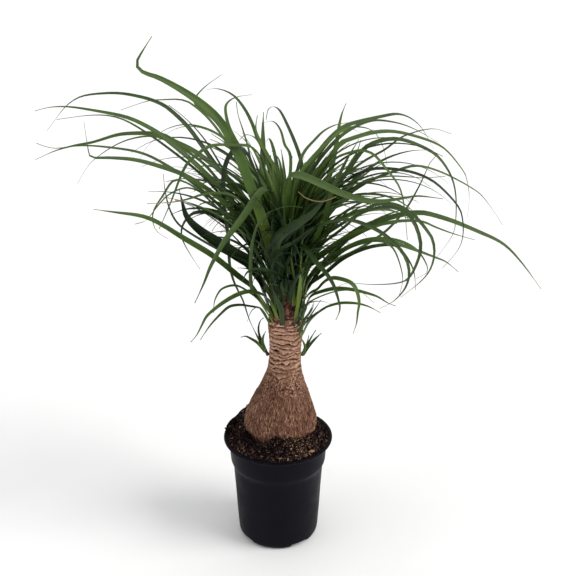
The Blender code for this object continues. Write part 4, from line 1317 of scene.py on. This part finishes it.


# Finer leaves that the photograph shows, drawn as the imported blades are: heading in degrees, width and base
# height in millimetres, tint, and a route of (x, z) or (x, z, depth) from base to tip on the upright plane
# through the stem.
# Their tints are partly the leaves' own tone and partly painted light: the tints near 0 paint shade on the
# broad leaves that lie in shade in front of the stem.
FINE_LEAVES = (
    (172, 4.5, 352, 0.40, (
        (-32, 418), (-80, 483), (-120, 520), (-160, 550), (-185, 562), (-213, 564), (-252, 559))),
    (145, 3.5, 382, 0.45, (
        (-22, 465), (-43, 512), (-60, 535), (-80, 548), (-105, 553), (-128, 547), (-140, 537),
        (-153, 523), (-159, 511))),
    (165, 4.5, 376, 0.50, (
        (-26, 468), (-50, 517), (-75, 556), (-97, 577), (-110, 582), (-127, 582), (-144, 581),
        (-161, 576), (-178, 570))),
    (156, 3.5, 372, 0.35, (
        (-22, 428), (-42, 465), (-61, 496), (-77, 525), (-89, 543), (-105, 561), (-123, 576))),
    (108, 4.0, 388, 0.45, ((-8, 450), (-29, 505), (-33, 525), (-39, 547), (-44, 564), (-46, 580))),
    (100, 6.0, 392, 0.75, (
        (8, 445, 10), (1, 493, 40), (-8, 511, 55), (-17, 529, 72), (-24, 547, 92), (-22, 564, 115))),
    (80, 4.5, 394, 0.55, (
        (12, 450, 12), (16, 511, 48), (9, 529, 66), (4, 547, 90), (-5, 557, 112), (-19, 554, 135))),
    (195, 7.0, 330, 0.12, (
        (-30, 374), (-62, 392), (-95, 412), (-118, 430), (-128, 450), (-132, 472), (-133, 494))),
    (205, 4.0, 300, 0.45, ((-18, 313), (-24, 321), (-32, 316), (-38, 301))),
    (60, 4.5, 390, 0.45, ((16, 450), (22, 488), (30, 517), (44, 535), (55, 546), (69, 553), (86, 556))),
    (20, 4.5, 366, 0.42, (
        (35, 440), (70, 482), (100, 508), (125, 523), (142, 537), (156, 543), (165, 546), (182, 548),
        (201, 542))),
    (15, 4.0, 352, 0.40, (
        (40, 420), (70, 460), (103, 485), (118, 489), (135, 491), (156, 490), (173, 489), (197, 491))),
    (42, 4.5, 342, 0.35, (
        (60, 378), (100, 400), (130, 422), (152, 449), (164, 472), (172, 491), (178, 507), (186, 517))),
    (50, 8.5, 380, 0.80, ((24, 430), (52, 465), (77, 489), (85, 505), (93, 521), (97, 535))),
    (350, 4.5, 340, 0.45, (
        (50, 375), (90, 402), (112, 410), (130, 407), (142, 395), (152, 365), (151, 345), (148, 335))),
    (335, 4.0, 312, 0.50, ((40, 328), (70, 342), (95, 344), (104, 341), (111, 335), (119, 327))),
    (250, 4.5, 318, 0.20, (
        (-4, 330, -20), (-15, 348, -34), (-5, 352, -46), (3, 349, -52), (13, 342, -58), (25, 331, -62))),
    (300, 7.0, 330, 0.08, ((24, 345, -18), (20, 361, -28), (12, 370, -38), (3, 379, -46), (-7, 386, -54))),
    (320, 9.0, 348, 0.05, (
        (2, 375, -30), (-3, 393, -44), (12, 402, -52), (28, 412, -56), (44, 425, -60), (78, 436, -60))),
    (95, 6.5, 392, 0.60, ((8, 440, 14), (6, 470, 26), (5, 495, 36), (2, 512, 44), (-6, 522, 54))),
    (70, 6.0, 390, 0.50, ((14, 440, 12), (17, 465, 22), (19, 485, 30), (24, 500, 38), (34, 508, 48))),
    (45, 12.0, 350, 1.0, (
        (33, 368, -26), (43, 396, -32), (52, 422, -34), (60, 446, -32), (66, 466, -28), (73, 482, -20))),
    (310, 4.5, 330, 0.95, ((27, 338, -16), (34, 362, -24), (44, 386, -26), (58, 408, -24), (76, 424, -18))),
    (300, 4.0, 326, 0.90, ((25, 334, -18), (30, 356, -28), (34, 380, -34), (44, 402, -36), (60, 416, -34))),
    (280, 4.0, 328, 0.70, ((20, 338, -20), (20, 362, -32), (17, 384, -40), (18, 404, -46))),
    (118, 5.5, 390, 0.85, (
        (-16, 452, 30), (-30, 492, 58), (-40, 512, 76), (-50, 530, 94), (-62, 546, 112))),
    (300, 4.0, 322, 0.30, ((22, 334, -14), (30, 342, -24), (36, 338, -34), (40, 328, -42))),
    (310, 4.5, 300, 0.35, ((31, 309, -6), (35, 320, -12), (37, 331, -20))),
    (325, 5.0, 296, 0.45, ((34, 304, -4), (41, 315, -8), (45, 325, -14))),
    (305, 4.0, 306, 0.15, ((30, 318, -14), (36, 325, -26), (46, 329, -40), (57, 329, -52), (68, 325, -62))),
    (285, 8.0, 352, 0.0, ((0, 372, -26), (4, 392, -42), (12, 410, -52), (24, 424, -58), (40, 432, -62))),
    (265, 7.0, 345, 0.0, ((-4, 362, -26), (-10, 384, -40), (-18, 402, -50), (-30, 414, -56))),
    (275, 6.0, 338, 0.02, ((6, 356, -26), (10, 374, -40), (16, 388, -50), (26, 394, -56), (38, 390, -60))),
    (255, 5.0, 340, 0.04, ((-8, 358, -24), (-18, 374, -38), (-30, 384, -46), (-44, 384, -52))),
    (290, 7.5, 360, 0.0, ((8, 384, -28), (10, 408, -42), (8, 428, -50), (2, 446, -56), (-8, 460, -60))),
    (270, 7.0, 362, 0.0, ((0, 388, -28), (-4, 410, -42), (-6, 430, -50), (-4, 446, -54))),
    (300, 6.5, 356, 0.0, ((18, 378, -26), (24, 400, -40), (28, 420, -48), (30, 440, -54), (38, 456, -58))),
    (262, 5.5, 334, 0.0, ((-2, 348, -24), (-6, 366, -38), (-4, 382, -48), (4, 392, -54), (16, 394, -58))),
    (240, 5.0, 342, 0.08, ((-12, 366, -20), (-24, 392, -32), (-34, 414, -40), (-42, 436, -46))),
    (330, 3.6, 284, 0.10, ((30, 291, -12), (39, 306, -18), (47, 320, -22), (54, 332, -24))),
    (300, 3.4, 280, 0.25, ((25, 286, -16), (32, 299, -24), (39, 314, -30), (45, 328, -34))),
    (315, 3.0, 278, 0.60, ((27, 284, -14), (31, 295, -20), (30, 306, -24), (26, 316, -26))),
    (320, 4.0, 290, 0.05, ((24, 296, -16), (30, 310, -24), (33, 326, -30), (32, 342, -34))),
    (295, 3.2, 286, 0.15, ((20, 292, -18), (24, 305, -28), (31, 318, -36), (40, 326, -42))),
)

# A dry, curled strand in the crown's heart: its width in millimetres, its tint, how far past dry its tip is
# and its route of (x, z, depth).
DRY_STRAND = (0.8, 0.5, 5.0, (
    (25, 472, -88), (33, 465, -90), (41, 461.5, -90), (48, 460, -90), (54, 460, -90), (62, 462.5, -88),
    (70, 466, -86)))

# The crown's outline on the stem's plane: the highest and the lowest place of a filling leaf at each x.
CROWN_X = (-172.0, -130.0, -80.0, -40.0, -12.0, 10.0, 32.0, 60.0, 90.0, 150.0, 190.0, 218.0)
CROWN_HIGH = (540.0, 560.0, 562.0, 548.0, 540.0, 520.0, 528.0, 545.0, 548.0, 548.0, 520.0, 480.0)
CROWN_LOW = (490.0, 445.0, 396.0, 356.0, 335.0, 326.0, 334.0, 366.0, 400.0, 430.0, 440.0, 450.0)
CROWN_FRONT = -245.0
CROWN_BACK = 238.0
FILL_STEPS = 12
FILL_TRIES = 9000
FILL_DRIFT = 14.0
FILL_ROLL = 42.0
FILL_FACING = 0.45
FILL_YOUNG = 0.06

# Groups of filling leaves: heading from and to, in degrees; base from and to, in millimetres; length as
# shares of the longest; rise and bend in degrees; width as a share of the average; tint.
Group = namedtuple("Group", "heading base length rise bend width tint")
FILL_GROUPS = {
    "outer": Group(
        (-38.0, 218.0), (306.0, 396.0), (0.38, 0.85), (40.0, 82.0), (40.0, 135.0), (0.7, 1.2), (0.1, 0.75)),
    "heart": Group(
        (-30.0, 210.0), (366.0, 399.0), (0.30, 0.62), (62.0, 86.0), (15.0, 75.0), (0.8, 1.5), (0.30, 1.0)),
    "centre": Group(
        (0.0, 360.0), (386.0, 399.0), (0.28, 0.46), (76.0, 89.0), (0.0, 40.0), (0.8, 1.5), (0.25, 0.95)),
    # The front leaves' low tints are partly painted shade, for the dark under the crown in front of the stem.
    "front": Group(
        (200.0, 340.0), (330.0, 392.0), (0.22, 0.50), (56.0, 82.0), (50.0, 135.0), (0.55, 0.95), (0.0, 0.12)),
}


class FillLook(bpy.types.PropertyGroup):
    outer: number_of("Outer leaves", "How many arching leaves fill the crown's sides and back", 104, 300)
    heart: number_of("Heart leaves", "How many leaning leaves fill the crown's heart", 50, 300)
    centre: number_of("Centre leaves", "How many upright leaves fill the crown's middle", 22, 300)
    front: number_of("Front leaves", "How many short dark leaves fill the front", 60, 300)
    seed: IntProperty(name="Seed", description="Fixes the random choices", min=0, default=12)
    width: length_of("Width", "Width of an average filling leaf", 0.0062, 0.001, 0.02)
    longest: length_of("Longest", "Length of the longest filling leaf", 0.33, 0.02, 0.6)


def on_plane(point):
    """Where the camera sees a point against the upright plane through the stem: (x, z) in millimetres."""
    reach = (STEM_Y - VIEW_Y) / (point[1] - VIEW_Y)
    return VIEW_X + (point[0] - VIEW_X) * reach, VIEW_Z + (point[2] - VIEW_Z) * reach


def route_place(entry, heading):
    """The place in space of a route entry: in the upright plane of its heading, or at its depth."""
    eye = np.array((VIEW_X, VIEW_Y, VIEW_Z))
    seen = np.array((entry[0], STEM_Y, entry[1]), float)
    if len(entry) == 3:
        reach = (STEM_Y + entry[2] - VIEW_Y) / (STEM_Y - VIEW_Y)
    else:
        angle = math.radians(heading)
        across = np.array((-math.sin(angle), math.cos(angle), 0.0))
        stem = np.array((STEM_X, STEM_Y, entry[1]), float)
        reach = across.dot(stem - eye) / across.dot(seen - eye)
    return eye + (seen - eye) * reach


def taper(share):
    """Width of a leaf at a share of its length: a broad clasping base, an even blade and a long point."""
    return (1.0 + 0.4 * math.exp(-share / 0.06)) * (1.0 - share**3.2)


def strand_from(places, width, tint, dry, roll=0.0, young=YOUNG_SHARE, facing=0.0):
    """A strand along places in millimetres, face up, then rolled by an angle and turned to the front."""
    places = [Vector(place) for place in places]
    shares = shares_along(places)
    flat = places[-1] - places[0]
    side = Vector((-flat.y, flat.x, 0.0)).normalized()
    sides = []
    sign = 1.0 if (places[1] - places[0]).cross(FRONT).dot(side) > 0.0 else -1.0
    for index, share in enumerate(shares):
        way = (places[min(index + 1, len(places) - 1)] - places[max(index - 1, 0)]).normalized()
        turned = side * math.cos(roll * share) + way.cross(side) * math.sin(roll * share)
        turned = turned.lerp(way.cross(FRONT) * sign, facing)
        sides.append((turned - way * turned.dot(way)).normalized())
    if (places[len(places) // 2] - places[0]).normalized().cross(sides[0]).z > 0.0:
        sides = [-way for way in sides]
    halves = [0.5 * width * taper(share) * MM for share in shares]
    return Strand([place * MM for place in places], sides, halves, tint, dry, young)


def stem_place(heading, z):
    """A place just inside the bark at a height, in millimetres."""
    x, y = trunk_middle(z)
    radius = max(trunk_radius(z) - BASE_SINK, 1.0)
    turn = math.radians(heading)
    return x + radius * math.cos(turn), y + radius * math.sin(turn), z


def fine_strand(entry):
    heading, width, base, tint, route = entry
    places = [route_place(point, heading) for point in route]
    ahead = math.degrees(math.atan2(places[0][1] - STEM_Y, places[0][0] - STEM_X))
    return strand_from([stem_place(ahead, base)] + places, width, tint, SHOWN_DRY, facing=SHOWN_FACING)


def arching(chance, heading, base, length, rise, bend):
    """A leaf that climbs from the stem and arches over, as places in millimetres."""
    place = Vector(stem_place(heading, base))
    places = [place.copy()]
    drift = chance.uniform(-FILL_DRIFT, FILL_DRIFT)
    for step in range(FILL_STEPS):
        share = (step + 0.5) / FILL_STEPS
        slope = math.radians(rise - bend * share**1.5)
        turn = math.radians(heading + drift * share)
        level = math.cos(slope)
        way = Vector((math.cos(turn) * level, math.sin(turn) * level, math.sin(slope)))
        place = place + way * (length / FILL_STEPS)
        places.append(place)
    return places


def inside_crown(places):
    """Whether a leaf stays inside the crown's outline and its depth."""
    for place in places[2:]:
        x, z = on_plane(place)
        if not (CROWN_FRONT < place.y < CROWN_BACK and CROWN_X[0] < x < CROWN_X[-1]):
            return False
        if not np.interp(x, CROWN_X, CROWN_LOW) < z < np.interp(x, CROWN_X, CROWN_HIGH):
            return False
    return True


def between(ends, share):
    """The value at a share of the way from the first end to the second."""
    return ends[0] + (ends[1] - ends[0]) * share


def fill_strands(look):
    """Leaves by rule: spread round the stem, the higher the steeper, inside the crown's outline."""
    chance = random.Random(look.seed)
    strands = []
    for name, group in FILL_GROUPS.items():
        made = tries = 0
        while made < getattr(look, name):
            tries += 1
            if tries > FILL_TRIES:
                raise ValueError(f"the crown has no room for that many {name} leaves")
            heading = between(group.heading, (SCALE_TURN * made / 360.0 + chance.uniform(-0.1, 0.1)) % 1.0)
            level = chance.random()
            length = chance.uniform(*group.length) * look.longest / MM * (0.75 + 0.25 * level)
            rise = between(group.rise, min(1.0, max(0.0, level + chance.uniform(-0.35, 0.35))))
            bend = chance.uniform(*group.bend)
            places = arching(chance, heading, between(group.base, level), length, rise, bend)
            width = look.width / MM * chance.uniform(*group.width)
            tint = chance.uniform(*group.tint)
            roll = math.radians(chance.uniform(-FILL_ROLL, FILL_ROLL))
            facing = chance.uniform(0.0, FILL_FACING)
            if inside_crown(places):
                dry = chance.choice((0.0, 0.1, 0.2))
                strands.append((heading, strand_from(places, width, tint, dry, roll, FILL_YOUNG, facing)))
                made += 1
    return strands


class PALM_OT_fine_leaves(bpy.types.Operator):
    """Draws the finer leaves: those that the photograph shows, and filling leaves all round the crown"""

    bl_idname = "palm.fine_leaves"
    bl_label = "Finer leaves"

    def execute(self, context):
        look = context.scene.palm_leaves
        green = green_material("strap_leaf_green", look)
        width, tint, dry, route = DRY_STRAND
        curl = strand_from([route_place(point, 0.0) for point in route], width, tint, dry, facing=1.0)
        shown = [fine_strand(entry) for entry in FINE_LEAVES]
        pieces = [("fine_leaves_shown", shown, SHOWN_RINGS), ("dry_strand", [curl], SHOWN_RINGS)]
        quarters = {"right": [], "back": [], "left": [], "front": []}
        for heading, strand in fill_strands(context.scene.palm_fill):
            quarters[tuple(quarters)[int(((heading + 45.0) % 360.0) // 90.0)]].append(strand)
        pieces += [(f"fine_leaves_{name}", strands, FILL_RINGS) for name, strands in quarters.items()]
        for name, strands, steps in pieces:
            seat(leaf_piece(name, strands, look, green, steps))
        return {"FINISHED"}


# Side shoots: each stalk's two ends, its radii and whether it is woody, and each small blade's width, tint
# and route, in millimetres.
SHOOTS = {
    "shoot_left": (
        ((-12.2, 10.0, 255.5), (-20.6, 8.8, 271.0), 2.1, 1.1, True),
        (
            (4.2, 0.30, ((-15.6, 9.4, 261), (-25, 6, 274), (-33, 4, 281), (-40, 3, 285), (-46, 2, 284))),
            (3.0, 0.35, ((-16.0, 10, 262), (-25, 14, 278), (-31, 17, 290))),
            (3.8, 0.45, ((-16.0, 8, 262), (-18.6, 3, 276), (-17.8, 0, 286), (-14.5, -3, 295))),
            (3.2, 0.10, (
                (-16.0, 11, 262), (-23, 16, 280), (-24, 19, 290), (-21.5, 21, 298), (-17, 23, 301))),
            (2.8, 0.75, ((-16.0, 8, 261), (-22, 4, 272), (-27, 1, 281))),
        ),
    ),
    "shoot_right": (
        ((30.8, 9.8, 255.5), (34.0, 8.0, 264.0), 2.0, 1.1, False),
        (
            (4.2, 0.30, ((32.0, 8, 258), (38.5, 6, 269), (46, 4, 280), (54.5, 2, 290))),
            (3.6, 0.50, ((32.2, 7, 258), (34.0, 0, 270), (32.5, -6, 280), (28.5, -9, 290))),
            (2.8, 0.45, ((32.4, 9, 258), (37, 12, 271), (39, 14, 281))),
            (2.6, 0.40, ((32.4, 9, 258), (41, 15, 275), (48, 19, 286))),
        ),
    ),
}
STALK_SIDES = 14
STALK_ROWS = 6
STALK_FLARE = 0.5
STALK_DARK = (0.020, 0.010, 0.007)
STALK_PALE = (0.15, 0.075, 0.045)
SHOOT_DRY = 0.1
SHOOT_FACING = 0.85
SHOOT_LIGHTNESS = 1.15


def stalk_wood():
    material, web, place = new_material("stalk_wood", 0.8, 0.15)
    paint(web, web.mix(place.noise(900.0, 3.0), solid(STALK_DARK), solid(STALK_PALE)))
    return material


def stalk(start, end, start_radius, end_radius, woody):
    """A short tapered stalk. Its faces take the second material of its piece if it is woody."""
    start, end = Vector(start), Vector(end)
    along = (end - start).normalized()
    side = along.cross(Vector((0.0, 1.0, 0.0))).normalized()
    up = side.cross(along)
    rings = []
    for row in range(STALK_ROWS):
        share = row / (STALK_ROWS - 1)
        flare = STALK_FLARE * math.exp(-share / 0.15)
        radius = start_radius + (end_radius - start_radius) * share + flare
        middle = start.lerp(end, share)
        ways = [side * math.cos(turn) + up * math.sin(turn) for turn in full_turn(STALK_SIDES)]
        rings.append([(middle + way * radius) * MM for way in ways])
    made = tube("stalk", rings)
    smooth(made)
    made.data.polygons.foreach_set("material_index", [int(woody)] * len(made.data.polygons))
    return made


def join(made, other):
    """Adds another object's mesh to an object's."""
    shape = bmesh.new()
    shape.from_mesh(made.data)
    shape.from_mesh(other.data)
    shape.to_mesh(made.data)
    shape.free()
    bpy.data.objects.remove(other)


class PALM_OT_shoots(bpy.types.Operator):
    """Draws the two young side shoots on the neck"""

    bl_idname = "palm.shoots"
    bl_label = "Side shoots"

    def execute(self, context):
        look = context.scene.palm_leaves
        green = green_material("young_shoot_green", look, SHOOT_LIGHTNESS)
        wood = stalk_wood()
        for node, (stem, blades) in SHOOTS.items():
            strands = [strand_from(route, width, tint, SHOOT_DRY, facing=SHOOT_FACING)
                       for width, tint, route in blades]
            piece = leaf_piece(node.replace("shoot", "side_shoot"), strands, look, green, SHOOT_RINGS)
            piece.data.materials.append(wood)
            join(piece, stalk(*stem))
            seat(piece, (node,))
        return {"FINISHED"}


# Stage

FLOOR_SIZE = 9.0
VIEW_FARTHEST = 30.0
LAMP_AIM = (0.0, 0.0, 0.36)

# The lamps: name, the setting that gives its strength, place in metres, spread in degrees and colour.
LAMPS = (
    ("key_right", "key", (1.50, -0.45, 1.70), 34.0, (1.0, 0.99, 0.965)),
    ("fill_left", "fill", (-1.7, -0.6, 1.1), 50.0, (0.975, 0.99, 1.0)),
    ("top", "top", (0.1, 0.5, 2.1), 50.0, (1.0, 1.0, 1.0)),
)


class StageLook(bpy.types.PropertyGroup):
    floor_colour: colour_of("Floor colour", "Colour of the plain floor", (0.97, 0.97, 0.975))
    sky: light_of("Sky light", "Strength of the even light from all round", 0.60, 4.0)
    key: light_of("Key lamp", "Strength of the soft light from the right", 1.8)
    fill: light_of("Fill lamp", "Strength of the soft light from the left", 0.48)
    top: light_of("Top lamp", "Strength of the soft light from above and behind", 0.3)


class PALM_OT_stage(bpy.types.Operator):
    """Sets the pale floor, the soft studio light and the camera at the photograph's angle"""

    bl_idname = "palm.stage"
    bl_label = "Floor, light and camera"

    def execute(self, context):
        scene = context.scene
        look = scene.palm_stage
        half = FLOOR_SIZE / 2.0
        corners = [(-half, -half, 0.0), (half, -half, 0.0), (half, half, 0.0), (-half, half, 0.0)]
        floor = mesh_object("floor", corners, [(0, 1, 2, 3)])
        material, web, place = new_material("floor_white", 0.8, 0.2)
        colour = look.floor_colour
        paint(web, web.mix(place.noise(9.0).spread(0.3, 0.7), solid(colour), solid(colour, 0.985)))
        floor.data.materials.append(material)

        world = bpy.data.worlds.new("studio")
        world.use_nodes = True
        sky = world.node_tree.nodes["Background"].inputs
        sky["Color"].default_value = (1.0, 1.0, 1.0, 1.0)
        sky["Strength"].default_value = look.sky
        scene.world = world

        for name, setting, place, spread, colour in LAMPS:
            light = bpy.data.lights.new(name, "SUN")
            light.angle = math.radians(spread)
            light.energy = getattr(look, setting)
            light.color = colour
            lamp = bpy.data.objects.new(name, light)
            lamp.location = place
            lamp.rotation_euler = (Vector(LAMP_AIM) - Vector(place)).to_track_quat("-Z", "Y").to_euler()
            scene.collection.objects.link(lamp)

        data = bpy.data.cameras.new("camera")
        data.lens = VIEW_LENS
        data.sensor_width = VIEW_SENSOR
        data.clip_end = VIEW_FARTHEST
        camera = bpy.data.objects.new("camera", data)
        camera.location = (VIEW_X * MM, VIEW_Y * MM, VIEW_Z * MM)
        camera.rotation_euler = (math.radians(90.0 - VIEW_PITCH), 0.0, 0.0)
        scene.collection.objects.link(camera)
        scene.camera = camera
        scene.view_settings.view_transform = "Standard"
        return {"FINISHED"}


# Panel and registration

OPERATORS = (
    PALM_OT_pot, PALM_OT_soil, PALM_OT_litter, PALM_OT_trunk, PALM_OT_scales, PALM_OT_leaves,
    PALM_OT_fine_leaves, PALM_OT_shoots, PALM_OT_stage,
)
LOOKS = {
    "palm_pot": PotLook, "palm_soil": SoilLook, "palm_bark": BarkLook, "palm_scales": ScaleLook,
    "palm_leaves": LeafLook, "palm_fill": FillLook, "palm_stage": StageLook,
}


class PALM_PT_panel(bpy.types.Panel):
    """Lists the pieces of the palm with their sizes and colours"""

    bl_idname = "PALM_PT_panel"
    bl_label = "Potted ponytail palm"
    bl_space_type = "VIEW_3D"
    bl_region_type = "UI"
    bl_category = "Palm"

    def draw(self, context):
        layout = self.layout
        for operator in OPERATORS:
            layout.operator(operator.bl_idname)
        for name, group in LOOKS.items():
            box = layout.box()
            for key in group.__annotations__:
                box.prop(getattr(context.scene, name), key)


def register():
    for group in LOOKS.values():
        bpy.utils.register_class(group)
    for operator in OPERATORS:
        bpy.utils.register_class(operator)
    bpy.utils.register_class(PALM_PT_panel)
    for name, group in LOOKS.items():
        setattr(bpy.types.Scene, name, PointerProperty(type=group))


def unregister():
    for name in LOOKS:
        delattr(bpy.types.Scene, name)
    bpy.utils.unregister_class(PALM_PT_panel)
    for operator in reversed(OPERATORS):
        bpy.utils.unregister_class(operator)
    for group in reversed(tuple(LOOKS.values())):
        bpy.utils.unregister_class(group)


def main():
    register()
    bpy.ops.palm.pot()
    bpy.ops.palm.soil()
    bpy.ops.palm.litter()
    bpy.ops.palm.trunk()
    bpy.ops.palm.scales()
    bpy.ops.palm.leaves()
    bpy.ops.palm.fine_leaves()
    bpy.ops.palm.shoots()
    bpy.ops.palm.stage()


if __name__ == "__main__":
    main()
